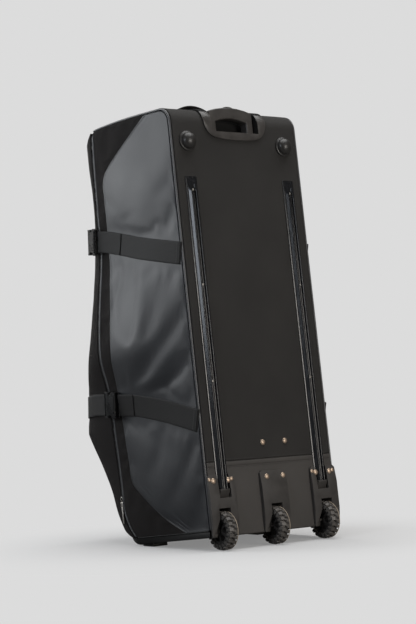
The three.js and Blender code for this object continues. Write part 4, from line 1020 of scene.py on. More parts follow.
def make_top_panel():
    """Black cloth between the back panel and the zip, softly crowned and drawn in by the handle's seams."""
    depth = np.linspace(TOP_START, top_end(), 90)[:, None]
    share = np.linspace(-1, 1, 130)[None, :]
    x = share * (side_x(side_top(depth), depth) - SEAM_INSET)
    fade = smooth_step(0, 0.03, depth - TOP_START) * smooth_step(0, 0.03, top_end() - depth)
    fade = fade * smooth_step(0, 0.12, 1 - np.abs(share))
    relief = 0.0018 * soft_noise(x, depth, 0.09, 61) * fade
    beside, along = np.abs(x) - SEWN_PLACE, depth - GRAB_DEPTH
    relief = relief - SEWN_DRAW * np.exp(-(beside / 0.016) ** 2 - (along / 0.03) ** 2)
    sewn = (np.abs(beside) < 0.014) & (np.abs(along) < 0.020)
    z = top_surface(x, depth) + relief
    z = z + settled(at(x, depth, z), sewn, BLACK_KIND, (0, 0, 1), 2) * (1 - sewn)
    piece = add_wall("top_cloth", at(x, depth, z), at(x, depth, z - CLOTH_WALL), lid_cloth,
                     replaces=["top_panel"], slot="black_cloth")


# Piping and zip

def mouth_line(offset, low, count=220):
    """Stations round the mouth: up one side, round its corner, across the top and down the other side."""
    top = float(side_top(np.array(TUB_DEPTH)))
    z_side = np.linspace(low, top - RIM_CORNER, count)[:-1]
    turn = np.linspace(0, math.pi / 2, 10)
    half_top = BODY_WIDTH / 2 + float(section_at("bulge", top))
    x_side = BODY_WIDTH / 2 + section_at("bulge", z_side)
    x_top = np.linspace(half_top - RIM_CORNER, 0, 60)[1:]
    x = np.concatenate([x_side, half_top - RIM_CORNER + RIM_CORNER * np.cos(turn), x_top])
    z = np.concatenate([z_side, top - RIM_CORNER + RIM_CORNER * np.sin(turn), np.full(len(x_top), top)])
    out = np.concatenate([np.zeros(len(z_side)), turn, np.full(len(x_top), math.pi / 2)])
    x = np.concatenate([x, -x[-2::-1]])
    z = np.concatenate([z, z[-2::-1]])
    out = np.concatenate([out, math.pi - out[-2::-1]])
    depth = section_at("zip", z) + offset
    return at(x, depth, z), at(np.cos(out), 0.0 * out, np.sin(out))


def make_rim_piping():
    """Round piping cord along the mouth."""
    origins, out = mouth_line(RIM_AXIS, LID_BOTTOM + 0.004)
    front = repeated(FORWARD, origins)
    points, faces = sweep_mesh(origins - RIM_SUNK * out, out, front, round_section(PIPING_RADIUS * 0.98, 14))
    add_mesh("rim_piping_cord", points, faces, piping_finish, replaces=["rim_piping"], slot="piping")


BASE_CORD_RADIUS = 0.0012
GUARD_INSET = 0.016
GUARD_HEIGHT = 0.032
GUARD_REACH = 0.030
GUARD_FALL = 0.024
GUARD_SECTION = [[-0.0150, -0.0065], [0.0150, -0.0065], [0.0150, 0.0055], [-0.0150, 0.0055]]
GUARD_ROUND = 0.0055


def make_base_trim():
    """Cord along the foot of each side's cloth, and a rounded guard on both lower front corners: a quarter
    turn of an ellipse, whose section swells as the root of half a sine wave."""
    corner_depth = float(section_at("zip", np.array(0.020)))
    turn = np.linspace(-0.32, math.pi / 2 + 0.25, 18)
    front = at(0 * turn, np.cos(turn), -np.sin(turn))
    swell = np.sqrt(np.clip(np.sin(math.pi * np.linspace(0.02, 0.98, 18)), 0, 1))[:, None, None]
    sections = rounded_outline(GUARD_SECTION, GUARD_ROUND)[None] * (0.35 + 0.65 * swell)
    for name, side, _ in SIDES:
        depth = np.linspace(0.006, corner_depth - 0.012, 90)
        z = np.full(90, SIDE_LOW + BASE_CORD_RADIUS)
        origins = at(side * (side_x(z, depth) + 0.0002), depth, z)
        points, faces = sweep_mesh(origins, repeated((side, 0, 0), origins), repeated(UPWARD, origins),
                                   round_section(BASE_CORD_RADIUS, 10))
        add_mesh(f"base_cord_{name}", points, faces, base_plastic, slot="piping")
        reach = corner_depth - GUARD_INSET + GUARD_REACH * np.cos(turn)
        spine = at(side * (BODY_WIDTH / 2 - GUARD_INSET), reach, GUARD_HEIGHT - GUARD_FALL * np.sin(turn))
        points, faces = sweep_mesh(spine, repeated(ACROSS, spine), front, sections)
        add_mesh(f"base_corner_{name}", points, faces, corner_rubber, slot="rubber")


TOOTH_STEP = 0.0016
TOOTH_SIZE = (0.0021, 0.0009, 0.0012)
TOOTH_ROUND = 0.0003
TOOTH_ROW_AWAY = 0.00085
TOOTH_SUNK = 0.0004
TAPE_LOW = -0.0022
TAPE_HIGH = -0.0009


def make_zip():
    """Zip tape with two rows of coil teeth that meet in its middle, in a flap's shadow."""
    origins, out = mouth_line(0.0, ZIP_LOW_END)
    tape = [[TAPE_LOW, ZIP_BACK], [TAPE_HIGH, ZIP_BACK], [TAPE_HIGH, ZIP_FRONT], [TAPE_LOW, ZIP_FRONT]]
    points, faces = sweep_mesh(origins, out, repeated(FORWARD, origins), tape)
    add_mesh("zip_tape", points, faces, lid_cloth, replaces=["zip_track"], slot="black_cloth", smooth=False)
    run = run_along(origins)
    places = np.arange(TOOTH_STEP, run[-1], TOOTH_STEP)
    spots = read_line(places, run, origins)
    outs = unit(read_line(places, run, out))
    runs = unit(np.gradient(spots, axis=0))
    axes = np.stack([np.cross(runs, outs), runs, outs], 1)
    middle = (ZIP_BACK + ZIP_FRONT) / 2
    tooth = rounded_box(TOOTH_SIZE, TOOTH_ROUND, 1)
    parts = []
    for row in (-1, 1):
        beside = np.array(FORWARD) * (middle + row * TOOTH_ROW_AWAY)
        parts.append(copies(tooth, spots + runs * TOOTH_STEP * 0.25 * row + beside - outs * TOOTH_SUNK, axes))
    add_form("zip_teeth", parts, zip_plastic, slot="gloss")


def back_edge_line(side):
    """Stations of the side piping: up the back edge, over the bend and along the top edge."""
    radius = BACK_BEND - PIPING_SUNK
    z_up = np.linspace(SIDE_LOW + 0.003, BEND_HEIGHT, 160)[:-1]
    turn = np.linspace(0, math.pi / 2, 16)
    along = np.linspace(BACK_BEND, top_end(), 80)[1:]
    depth = np.concatenate([np.full(len(z_up), PIPING_SUNK), BACK_BEND - radius * np.cos(turn), along])
    z = np.concatenate([z_up, BEND_HEIGHT + radius * np.sin(turn), side_top(along, PIPING_SUNK)])
    out = np.concatenate([np.zeros(len(z_up)), turn, np.full(len(along), math.pi / 2)])
    x = side * (side_x(z, depth) - PIPING_SUNK)
    return at(x, depth, z), at(0.0 * out, -np.cos(out), np.sin(out))


def make_side_piping():
    """Corded piping along each side panel's back and top edge."""
    for name, side, _ in SIDES:
        origins, out = back_edge_line(side)
        across = repeated(ACROSS, origins)
        points, faces = sweep_mesh(origins, across, out, round_section(PIPING_RADIUS * 0.98, 14))
        add_mesh(f"side_piping_cord_{name}", points, faces, side_piping_finish,
                 replaces=[f"side_piping_{name}"], slot="piping")


PULL_LENGTH = 0.064
PULL_DROP = 0.026
PULL_WIDTH = 0.009
PULL_WALL = 0.002
EYE_HALF_WIDTH = 0.0036
EYE_HALF_HEIGHT = 0.0044
EYE_WIRE = 0.0009


def make_zip_pulls():
    """Long flat tab with an eye on a slider body, on each side at the zip's lower end."""
    low = ZIP_LOW_END - PULL_DROP
    depth = float(section_at("zip", low + PULL_LENGTH / 2)) + (ZIP_BACK + ZIP_FRONT) / 2
    fullest = float(max(section_at("bulge", low), section_at("bulge", low + PULL_LENGTH)))
    reach = BODY_WIDTH / 2 + fullest + PIPING_RADIUS - RIM_SUNK + GAP + PULL_WALL / 2
    tab = rounded_box((PULL_WALL * 0.7, PULL_WIDTH * 0.62, PULL_LENGTH * 0.60), 0.0006)
    slider = rounded_box((PULL_WALL, PULL_WIDTH, PULL_LENGTH * 0.17), 0.0009)
    turn = np.linspace(0, 2 * math.pi, 25)[:-1]
    out = at(0 * turn, np.cos(turn), np.sin(turn))
    eye_z = low + PULL_LENGTH * 0.89 + EYE_HALF_HEIGHT * np.sin(turn)
    for name, side, _ in SIDES:
        x = side * reach
        eye_line = at(x + 0 * turn, depth + EYE_HALF_WIDTH * np.cos(turn), eye_z)
        eye = sweep_mesh(eye_line, repeated(ACROSS, out), out, round_section(EYE_WIRE, 8), closed=True)
        parts = [placed(tab, (x, -depth, low + PULL_LENGTH * 0.31), np.eye(3)),
                 placed(slider, (x, -depth, low + PULL_LENGTH * 0.70), np.eye(3)), eye]
        add_form(f"zip_tab_{name}", parts, steel, replaces=[f"zip_pull_{name}"], slot="steel")


# Straps and buckles


def hoop_lid(z, turn):
    """Outer face of the lid at a height, by turn: its quarter ellipse to 90 degrees, then to its middle."""
    front, zip_depth = section_at("front", z), section_at("zip", z)
    half = BODY_WIDTH / 2 + section_at("bulge", z)
    angle = np.radians(np.minimum(turn, 90))
    past = np.clip(turn - 90, 0, 90) / 90
    x = (half - LID_SIDE_ROUND * (1 - np.cos(angle))) * (1 - past)
    back = zip_depth + LID_BACK
    crown = LID_CROWN * (1 - (x / half) ** 2)
    return x, back + (front + crown - back) * np.sin(angle)


def buckle_foot(strap, back):
    """Where the tilted buckle starts: its back face clears the side and the lid all along its length."""
    level = float(strap_line(strap, back))
    tilt = math.radians(strap["tilt"])
    out = np.array([math.cos(tilt), math.sin(tilt)])
    along = np.array([-math.sin(tilt), math.cos(tilt)])
    start = np.array([float(side_x(level, back)), back])
    z = level + np.linspace(-0.5, 0.5, 5)[:, None] * BUCKLE_WIDTH
    steps = np.linspace(0, 1, 17)[None, :]
    depth = back - 0.008 + steps * (section_at("zip", z) - back + 0.008)
    on_side = np.stack([side_x(z, depth), depth], -1).reshape(-1, 2)
    on_lid = np.stack(hoop_lid(z, steps * 80), -1).reshape(-1, 2)
    offsets = np.concatenate([on_side, on_lid]) - start
    near = offsets @ along < SOCKET_LENGTH + PLUG_LENGTH + 0.002
    reach = max(float((offsets[near] @ out).max()), 0.0)
    return start + out * (reach + BUCKLE_LIFT)


def band_mesh(middle, across, out, width=WEB_WIDTH, wall=WEB_WALL):
    """Webbing along stations: a flat section with half-round edges, and a UV map in metres."""
    turn = np.linspace(-math.pi / 2, math.pi / 2, 5)
    half, round_edge = width / 2 - wall / 2, wall / 2
    edge = np.stack([half + round_edge * np.cos(turn), round_edge + round_edge * np.sin(turn)], -1)
    flat = np.linspace(half, -half, 15)[1:-1]
    top = np.stack([flat, np.full(len(flat), wall)], -1)
    bottom = np.stack([flat[::-1], np.zeros(len(flat))], -1)
    section = np.concatenate([edge, top, edge[::-1] * [-1, 1], bottom])
    points, faces = sweep_mesh(middle, across, out, section)
    uv = np.stack(np.broadcast_arrays(run_along(middle)[:, None], section[None, :, 0]), -1).reshape(-1, 2)
    return points, faces, uv


def add_band(name, middle, across, out, replaces=(), finish=None, **options):
    """Adds webbing as a piece."""
    points, faces, uv = band_mesh(middle, across, out, **options)
    return add_mesh(name, points, faces, finish or webbing, uv=uv, replaces=replaces, slot="webbing")


def side_strap_stations(strap, side, start, end, lift, count=90):
    """Middle line, axis across and outward axis of webbing laid on the side from one depth to another."""
    depth = np.linspace(start, end, count)
    z = strap_line(strap, depth)
    x = side_x(z, depth)
    middle = at(side * x, depth, z)
    run = unit(np.gradient(middle, axis=0))
    slope_up = (side_x(z + 0.004, depth) - side_x(z - 0.004, depth)) / 0.008
    upward = unit(at(side * slope_up, 0 * z, np.ones(len(z))))
    out = unit(np.cross(run, upward)) * side
    out = out * np.sign(out[:, :1] * side)
    across = unit(np.cross(out, run))
    return middle + out * np.broadcast_to(lift, z.shape)[:, None], across, out


def buckle_frame(strap, side, back):
    """Foot and axes of a buckle: along the strap, across it and outwards."""
    rise = math.atan(strap_slope(strap, back))
    tilt = math.radians(strap["tilt"])
    level = math.cos(rise)
    along = np.array([-side * math.sin(tilt) * level, -math.cos(tilt) * level, math.sin(rise)])
    out = np.array([side * math.cos(tilt), -math.sin(tilt), 0.0])
    foot = buckle_foot(strap, back)
    foot = np.array([side * foot[0], -foot[1], float(strap_line(strap, back))])
    return foot, along, np.cross(out, along), out


def plate_mesh(outline, low, high, bevel=0.0012):
    """Plate from an outline: four rings, the outer two drawn in by the bevel, and two flat caps."""
    outline = np.asarray(outline, float)
    ahead, behind = np.roll(outline, -1, 0) - outline, outline - np.roll(outline, 1, 0)
    normal = unit(unit(ahead[:, ::-1] * [1, -1]) + unit(behind[:, ::-1] * [1, -1]))
    area = np.sum(outline[:, 0] * np.roll(outline[:, 1], -1) - outline[:, 1] * np.roll(outline[:, 0], -1))
    inner = outline - normal * bevel * np.sign(area)
    rings = [(inner, low), (outline, low + bevel), (outline, high - bevel), (inner, high)]
    points = np.concatenate([np.column_stack([ring, np.full(len(ring), z)]) for ring, z in rings])
    count = len(outline)
    cap = np.arange(count)
    faces = [grid_faces(4, count, wrap=True), cap[None, ::-1], (cap + 3 * count)[None]]
    return points, outward(points, faces)


def make_buckle(strap_name, name, side):
    """Side-release buckle: a hollow-looking socket with open sides, prongs in them, and a barred plug."""
    strap = STRAPS[strap_name]
    foot, along, across, out = buckle_frame(strap, side, strap["buckle"] * TUB_DEPTH)
    axes = np.stack([along, across, out])
    half, wall, end = BUCKLE_WIDTH / 2, BUCKLE_WALL, SOCKET_LENGTH
    front, start = end + PLUG_LENGTH, end + GAP

    def plate(edge, low, high, bevel):
        """Plate whose outline is an edge and the same edge mirrored."""
        return placed(plate_mesh(edge + [[x, -y] for x, y in edge[::-1]], low, high, bevel), foot, axes)

    def block(size, place, radius):
        """Rounded box in the buckle's own frame."""
        return placed(placed(rounded_box(size, radius), place, np.eye(3)), foot, axes)

    shell_edge = [[0.006, 0.003 - half], [end - 0.0150, -half], [end - 0.0100, 0.0075 - half],
                  [end - 0.0035, 0.0075 - half], [end, 0.0035 - half]]
    ridge_edge = [[0.012, -half * 0.62], [end - 0.006, -half * 0.5]]
    rear_bar = block((0.0045, 2 * half - 0.007, 0.0050), (0.0026, 0, 0.0026), 0.0018)
    upper_bar = block((0.0035, 2 * half - 0.010, 0.0035), (0.0085, 0, wall - 0.0006), 0.0014)
    socket = [plate(shell_edge, 0.0, wall, 0.0016), plate(ridge_edge, wall - 0.0008, wall + 0.0008, 0.0006),
              rear_bar, upper_bar]
    add_form(f"buckle_shell_{strap_name}_{name}", socket, buckle_plastic,
             replaces=[f"buckle_socket_{strap_name}_{name}"], slot="plastic", smooth=False)
    plug_edge = [[start, 0.0035 - half], [start + 0.006, 0.0020 - half], [start + 0.011, 0.0045 - half]]
    front_bar = block((0.0040, 2 * half - 0.008, 0.0055), (front - 0.0024, 0, 0.0034), 0.0018)
    inner_bar = block((0.0030, 2 * half - 0.012, 0.0035), (front - 0.0100, 0, 0.0060), 0.0013)
    plug = [plate(plug_edge, 0.0003, wall - 0.0006, 0.0014), front_bar, inner_bar]
    for way in (-1, 1):
        plug.append(block((0.0160, 0.0042, 0.0062), (front - 0.0085, way * (half - 0.0034), 0.0036), 0.0016))
        plug.append(block((0.0120, 0.0046, 0.0056), (end - 0.0075, way * (half - 0.0058), 0.0046), 0.0018))
    add_form(f"buckle_prongs_{strap_name}_{name}", plug, buckle_plastic,
             replaces=[f"buckle_plug_{strap_name}_{name}"], slot="plastic", smooth=False)


def stitch_line(points, outs, pitch=0.0042, length=0.0030, radius=0.00045):
    """Small thread stitches along a line of points, lying on a surface with those outward directions."""
    run = run_along(points)
    places = np.arange(pitch / 2, run[-1], pitch)
    spots = read_line(places, run, points)
    out = unit(read_line(places, run, outs))
    along = unit(read_line(places + 1e-4, run, points) - spots)
    across = unit(np.cross(out, along))
    stitch = rounded_box((length, 2 * radius, 1.4 * radius), radius * 0.6, 1)
    return copies(stitch, spots, np.stack([along, across, out], 1))


LOW_LIFT = 0.4 * WEB_LIFT
SEAM_SINK = 0.0024
TAIL_WALL = 0.0012
TAIL_NARROWER = 0.0006
BAR_TACKS = (0.003, 0.012)


def make_side_strap(strap_name, strap, name, side):
    """Webbing from the back seam, where it sinks in, up to the buckle, with its folded-back end. Gives the
    stitches of its bar tacks."""
    foot = buckle_frame(strap, side, strap["buckle"] * TUB_DEPTH)[0]
    end = -foot[1] - 2 * GAP
    foot_rise = abs(foot[0]) - float(side_x(float(strap_line(strap, end)), end))
    share = np.linspace(0, 1, 90)
    lift = LOW_LIFT + (foot_rise + WEB_LIFT / 2 - LOW_LIFT) * share**12 - SEAM_SINK * np.exp(-share / 0.012)
    stations = side_strap_stations(strap, side, STRAP_START, end, lift)
    add_band(f"webbing_{strap_name}_{name}", *stations, [f"strap_{strap_name}_{name}"])
    depth = np.linspace(strap["tail"] * TUB_DEPTH, end + 0.004, 40)
    rise = np.interp(depth, np.linspace(STRAP_START, end, 90), lift)
    rise = rise + WEB_WALL + 0.0009 * np.sin(math.pi * np.linspace(0, 1, 40)) + 0.0001
    stations = side_strap_stations(strap, side, depth[0], depth[-1], rise, 40)
    add_band(f"webbing_tail_{strap_name}_{name}", *stations, width=WEB_WIDTH - TAIL_NARROWER, wall=TAIL_WALL)
    reach = WEB_WIDTH / 2 - 0.0045
    tacks = []
    for offset in BAR_TACKS:
        start = SEAM_INSET + offset
        middle, across, out = side_strap_stations(strap, side, start, start + 0.0001, LOW_LIFT + WEB_WALL, 2)
        line = middle[:1] + across[:1] * np.linspace(-reach, reach, 12)[:, None]
        tacks.append(stitch_line(line, np.repeat(out[:1], 12, 0)))
    return tacks


def make_straps():
    """Webbing on each side and over the lid, with folded-back ends, bar tacks and buckles."""
    stitches = []
    for strap_name, strap in STRAPS.items():
        for name, side, _ in SIDES:
            stitches += make_side_strap(strap_name, strap, name, side)
        make_front_strap(strap_name, strap)
        for name, side, _ in SIDES:
            make_buckle(strap_name, name, side)
    add_form("strap_stitches", stitches, thread, slot="webbing")


def make_front_strap(strap_name, strap):
    """Webbing from one plug round the front of the lid to the other."""
    turn_half = np.concatenate([np.linspace(strap["first_turn"], 90, 40)[:-1], np.linspace(90, 180, 60)])
    level = float(strap_line(strap, 1.2 * TUB_DEPTH))
    _, depth = hoop_lid(np.full(len(turn_half), level), turn_half)
    z = strap_line(strap, depth)
    x, depth = hoop_lid(z, turn_half)
    x = np.concatenate([x, -x[-2::-1]])
    depth = np.concatenate([depth, depth[-2::-1]])
    z = np.concatenate([z, z[-2::-1]])
    middle = at(x, depth, z)
    run = unit(np.gradient(middle, axis=0))
    front_slope = (section_at("front", z + 0.004) - section_at("front", z - 0.004)) / 0.008
    weight = np.clip(1 - np.abs(x) / (BODY_WIDTH / 2), 0, 1) ** 0.25
    upward = unit(at(0 * x, front_slope * weight, 1 + 0 * x))
    out = unit(np.cross(upward, run))
    toward = at(x * 0.6, 0.3 + 0 * x, 0 * x)
    out = out * np.sign(np.sum(out * toward, -1, keepdims=True))
    across = unit(np.cross(out, run))
    middle = middle + out * WEB_LIFT * 0.6
    add_band(f"webbing_{strap_name}_front", middle, across, out, [f"strap_{strap_name}_front"])


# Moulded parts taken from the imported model, with their edges rounded

def soften(node, finish, body="shell", width=0.0012, segments=2, angle=30, name=None):
    """Copy of a node with merged corners, flat faces dissolved, and its sharp edges bevelled."""
    mesh = frame["nodes"][node].data.copy()
    edit = bmesh.new()
    edit.from_mesh(mesh)
    bmesh.ops.remove_doubles(edit, verts=edit.verts, dist=1e-5)
    bmesh.ops.dissolve_limit(edit, angle_limit=math.radians(1.5), verts=edit.verts, edges=edit.edges)
    edit.to_mesh(mesh)
    edit.free()
    mesh.materials.clear()
    mesh.materials.append(finish)
    for polygon in mesh.polygons:
        polygon.use_smooth = True
    piece = bpy.data.objects.new(name or f"{node}_moulded", mesh)
    mesh.name = piece.name
    link_to_scene(piece)
    bevel = piece.modifiers.new("rounded edges", "BEVEL")
    bevel.width = width
    bevel.segments = segments
    bevel.limit_method = "ANGLE"
    bevel.angle_limit = math.radians(angle)
    bevel.harden_normals = True
    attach(piece, body)
    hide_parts(node)
    return piece


def make_moulded_parts():
    """Base, cup, grip, button, bracket, feet, housings and hubs."""
    soften("base_tray", base_plastic, width=0.0015)
    # The cup's deep faces get painted shade: a near-black finish.
    shade_cup_recess(soften("handle_cup", grip_plastic, width=0.0009))
    soften("handle_grip", grip_plastic, "handle", width=0.0040, segments=4)
    soften("push_button", grip_plastic, "button", width=0.0012)
    soften("guide_bracket", plastic)
    for name, _, _ in SIDES:
        soften(f"front_foot_{name}", rubber, width=0.0012)
    for name in ("left", "middle", "right"):
        open_cheeks(soften(f"wheel_housing_{name}", plastic, width=0.0012))
        soften(f"hub_{name}", hub_plastic, f"wheel_{name}", width=0.0010)


def shade_cup_recess(cup):
    """Paints shade into the cup: gives the faces deep in the cup a matt black finish, so the recess is
    darkened by colour.
    """
    mesh = cup.data
    mesh.materials.append(painted_recess_shade)
    for polygon in mesh.polygons:
        centre = unleaned(np.array(polygon.center) - shift)
        # Faces deeper than RECESS_DEPTH get the painted shade.
        if -centre[1] > RECESS_DEPTH:
            polygon.material_index = 1


SLOT_EDGE = (0.0120, 0.0262)
FLARE_HEIGHTS = (0.008, 0.045)
FLARE = 0.0085


def open_cheeks(housing):
    """Widens the slot's flare at the foot of a housing, so that the wheel shows beside it."""
    mesh = housing.data
    place = np.zeros(len(mesh.vertices) * 3, np.float32)
    mesh.vertices.foreach_get("co", place)
    own = unleaned(place.reshape(-1, 3).astype(float) - shift)
    away = own[:, 0] - (own[:, 0].min() + own[:, 0].max()) / 2
    at_slot = (np.abs(away) > SLOT_EDGE[0]) & (np.abs(away) < SLOT_EDGE[1]) & (own[:, 1] > -0.0002)
    own[:, 0] += np.sign(away) * FLARE * at_slot * (1 - smooth_step(*FLARE_HEIGHTS, own[:, 2]))
    mesh.vertices.foreach_set("co", to_row(own).astype(np.float32).ravel())
    mesh.update()


def dress_nodes():
    """Finishes of the nodes that stay as packed: tubes, guides and axles."""
    for node in ("handle_guide_left", "handle_guide_right", "handle_tube_left", "handle_tube_right"):
        set_finish(node, aluminium)
    for name in ("left", "middle", "right"):
        set_finish(f"axle_{name}", steel)


def set_finish(node, finish):
    """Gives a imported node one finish."""
    mesh = frame["nodes"][node].data
    mesh.materials.clear()
    mesh.materials.append(finish)


# Rails, domes and fasteners

RAIL_INSET = 0.0425
RAIL_LOW = 0.088
RAIL_HIGH = BODY_HEIGHT - 0.161
RAIL_WIDTH = 0.031
RAIL_TALL = 0.0103
RAIL_TAPER = 0.034
RAIL_END = 0.107
DOME_INSET = 0.044
DOME_DROP = 0.081


def rounded_outline(points, radius, steps=3):
    """Closed outline with each corner cut back and replaced by a quadratic curve of a few points."""
    points = np.asarray(points, float)
    before, after = np.roll(points, 1, 0) - points, np.roll(points, -1, 0) - points
    reach_before = np.minimum(radius, 0.42 * np.linalg.norm(before, axis=1))[:, None]
    reach_after = np.minimum(radius, 0.42 * np.linalg.norm(after, axis=1))[:, None]
    start, end = points + unit(before) * reach_before, points + unit(after) * reach_after
    t = np.linspace(0, 1, steps + 1)[None, :, None]
    curve = (1 - t) ** 2 * start[:, None] + 2 * t * (1 - t) * points[:, None] + t**2 * end[:, None]
    return curve.reshape(-1, 2)


def make_rails():
    """Flanged skid rail: two rounded ribs beside a wide groove, running out in slopes at both ends."""
    half = RAIL_WIDTH / 2
    rib = [[-half, GAP], [-half, 0.0020], [-0.0132, 0.0024], [-0.0120, 0.0032], [-0.0070, RAIL_TALL - 0.0006],
           [-0.0058, RAIL_TALL], [-0.0045, RAIL_TALL - 0.0006], [-0.0037, 0.0046]]
    rib += [[-x, y] for x, y in rib[::-1]]
    section = rounded_outline(rib, 0.0014, 3)
    z = np.concatenate([np.linspace(RAIL_END, RAIL_END + 0.012, 6)[:-1],
                        np.linspace(RAIL_END + 0.012, RAIL_HIGH - RAIL_TAPER, 60),
                        np.linspace(RAIL_HIGH - RAIL_TAPER, RAIL_HIGH, 12)[1:]])
    limit = np.interp(z, [RAIL_HIGH - RAIL_TAPER, RAIL_HIGH - 0.006], [RAIL_TALL, 0.0028])
    sections = np.broadcast_to(section, (len(z), *section.shape)).copy()
    low = np.minimum(sections[..., 1], limit[:, None] - 0.06 * (RAIL_TALL - sections[..., 1]))
    sections[..., 1] = np.where(sections[..., 1] > 0.0026, np.maximum(low, 0.0022), sections[..., 1])
    for name, side, _ in SIDES:
        x = side * (BODY_WIDTH / 2 - RAIL_INSET)
        origins = at(x + 0 * z, 0 * z, z)
        across = repeated(ACROSS, origins)
        out = repeated(BACKWARD, origins)
        points, faces = sweep_mesh(origins, across, out, sections)
        piece = add_mesh(f"rail_{name}", points, faces, rail_plastic, replaces=[f"skid_rail_{name}"],
                         slot="gloss")
        smooth_by_angle(piece, 50)
        ramp = rounded_outline([[0.0004, RAIL_LOW], [0.0016, RAIL_LOW], [0.0100, RAIL_END - 0.0035],
                                [0.0100, RAIL_END - 0.0006], [0.0004, RAIL_END - 0.0006]], 0.0012)
        width = (RAIL_WIDTH - 0.006) / 2
        edges = np.array([-width, -width + 0.0008, width - 0.0008, width])
        shrink = np.array([0.92, 1.0, 1.0, 0.92])[:, None, None]
        middle = ramp.mean(0)
        shape = middle + (ramp - middle) * shrink
        origins = np.stack([x + edges, 0 * edges, 0 * edges], -1)
        points, faces = sweep_mesh(origins, repeated(BACKWARD, origins),
                                   repeated(UPWARD, origins), shape)
        piece = add_mesh(f"rail_stop_{name}", points, faces, plastic, slot="plastic")
        smooth_by_angle(piece, 40)


def smooth_by_angle(piece, degrees):
    """Smooth shading that keeps edges sharper than an angle."""
    piece.data.set_sharp_from_angle(angle=math.radians(degrees))


def make_domes():
    """Rubber dome on a stepped base ring."""
    turn = np.radians(np.linspace(4, 88, 16))
    dome = np.column_stack([0.0188 * np.cos(turn), 0.005 + 0.0150 * np.sin(turn)])
    profile = np.concatenate([[[0, GAP], [0.0215, GAP], [0.0224, 0.0010], [0.0224, 0.0030], [0.0214, 0.0039],
                               [0.0198, 0.0041], [0.0191, 0.0048]], dome, [[0, 0.0200]]])
    for name, side, _ in SIDES:
        middle = np.array([side * (BODY_WIDTH / 2 - DOME_INSET), 0.0, BODY_HEIGHT - DOME_DROP])
        points, faces = lathe_mesh(profile, middle, [0, 1, 0], 48)
        piece = add_mesh(f"dome_{name}", points, faces, rubber, replaces=[f"dome_foot_{name}"], slot="rubber")
        smooth_by_angle(piece, 40)


RIVET_PROFILE = [[0, -0.0006], [0.0043, -0.0006], [0.0043, 0.0004], [0.0040, 0.0010], [0.0031, 0.0017],
                 [0.0016, 0.0022], [0, 0.0023]]
SCREW_PROFILE = [[0, -0.0010], [0.0024, -0.0010], [0.0024, 0.0002], [0.0020, 0.0007], [0.0009, 0.0009],
                 [0.0008, 0.0002], [0, 0.0002]]


def heads(profile, places, scale=1.0):
    """Turned heads that point out of the back at (x, depth, height) places."""
    profile = np.asarray(profile) * scale
    return [lathe_mesh(profile, np.array([x, -depth, z]), [0, 1, 0], 20) for x, depth, z in places]


RIVET_SCALE = 1.5
SMALL_RIVET_SCALE = 1.05
RIVET_PLATE = -0.0052
BRACKET_RIVETS = [(0.015, 0.0, 0.201), (-0.048, 0.0, 0.201)]
MIDDLE_RIVETS = [(-0.028, RIVET_PLATE, 0.125), (0.018, RIVET_PLATE, 0.125)]
SCREW_DEPTH = -0.0050
SCREW_HEIGHTS = (0.765, 0.553, 0.341)


def make_fasteners():
    """Rivets of the housings and the bracket, and screws in the rails' grooves."""
    wheel_x = BODY_WIDTH / 2 - WHEEL_INSET
    rail_x = BODY_WIDTH / 2 - RAIL_INSET
    rivets, small, screws = BRACKET_RIVETS + MIDDLE_RIVETS, [], []
    for side in (-1, 1):
        rivets += [(side * wheel_x + x, RIVET_PLATE - 0.0004, 0.125) for x in (-0.0185, 0.0215)]
        small += [(side * wheel_x + x, RIVET_PLATE, z) for x, z in ((-0.0285, 0.127), (0.0315, 0.128))]
        screws += [(side * rail_x, SCREW_DEPTH, z) for z in SCREW_HEIGHTS]
    parts = heads(RIVET_PROFILE, rivets, RIVET_SCALE) + heads(RIVET_PROFILE, small, SMALL_RIVET_SCALE)
    add_form("rivets", parts, rivet_metal, slot="steel")
    add_form("rail_screws", heads(SCREW_PROFILE, screws), steel, slot="steel")


# Wheels

TYRE_SIDES = 96
MOULD_LINE_WIRE = 0.0009
TREAD = {
    "block": {"size": (0.0092, 0.0076, 0.0078), "round": 0.0012, "sunk": 0.0049, "lean": 0.28},
    "lug": {"size": (0.0040, 0.0056, 0.0110), "round": 0.0012, "sunk": 0.0085, "lean": 0.35},
    "centre": {"size": (0.0060, 0.0040, 0.0076), "round": 0.0010, "sunk": 0.0040, "lean": 0.0},
}


def knobs(kind, axle, out, side, beside):
    """A ring of one kind of tread knob: sunk below the tyre's radius, beside its middle, at outward
    directions out. Blocks lean to the side, lugs stand on the wall."""
    knob = TREAD[kind]
    if kind == "lug":
        flank, up = unit(side + knob["lean"] * out), unit(out - knob["lean"] * side)
    else:
        flank, up = unit(side - knob["lean"] * out), unit(out + knob["lean"] * side)
    spot = axle + out * (TYRE_RADIUS - knob["sunk"]) + side * beside
    axes = np.stack([flank, np.cross(up, flank), up], 1)
    return copies(rounded_box(knob["size"], knob["round"], 2), spot, axes)


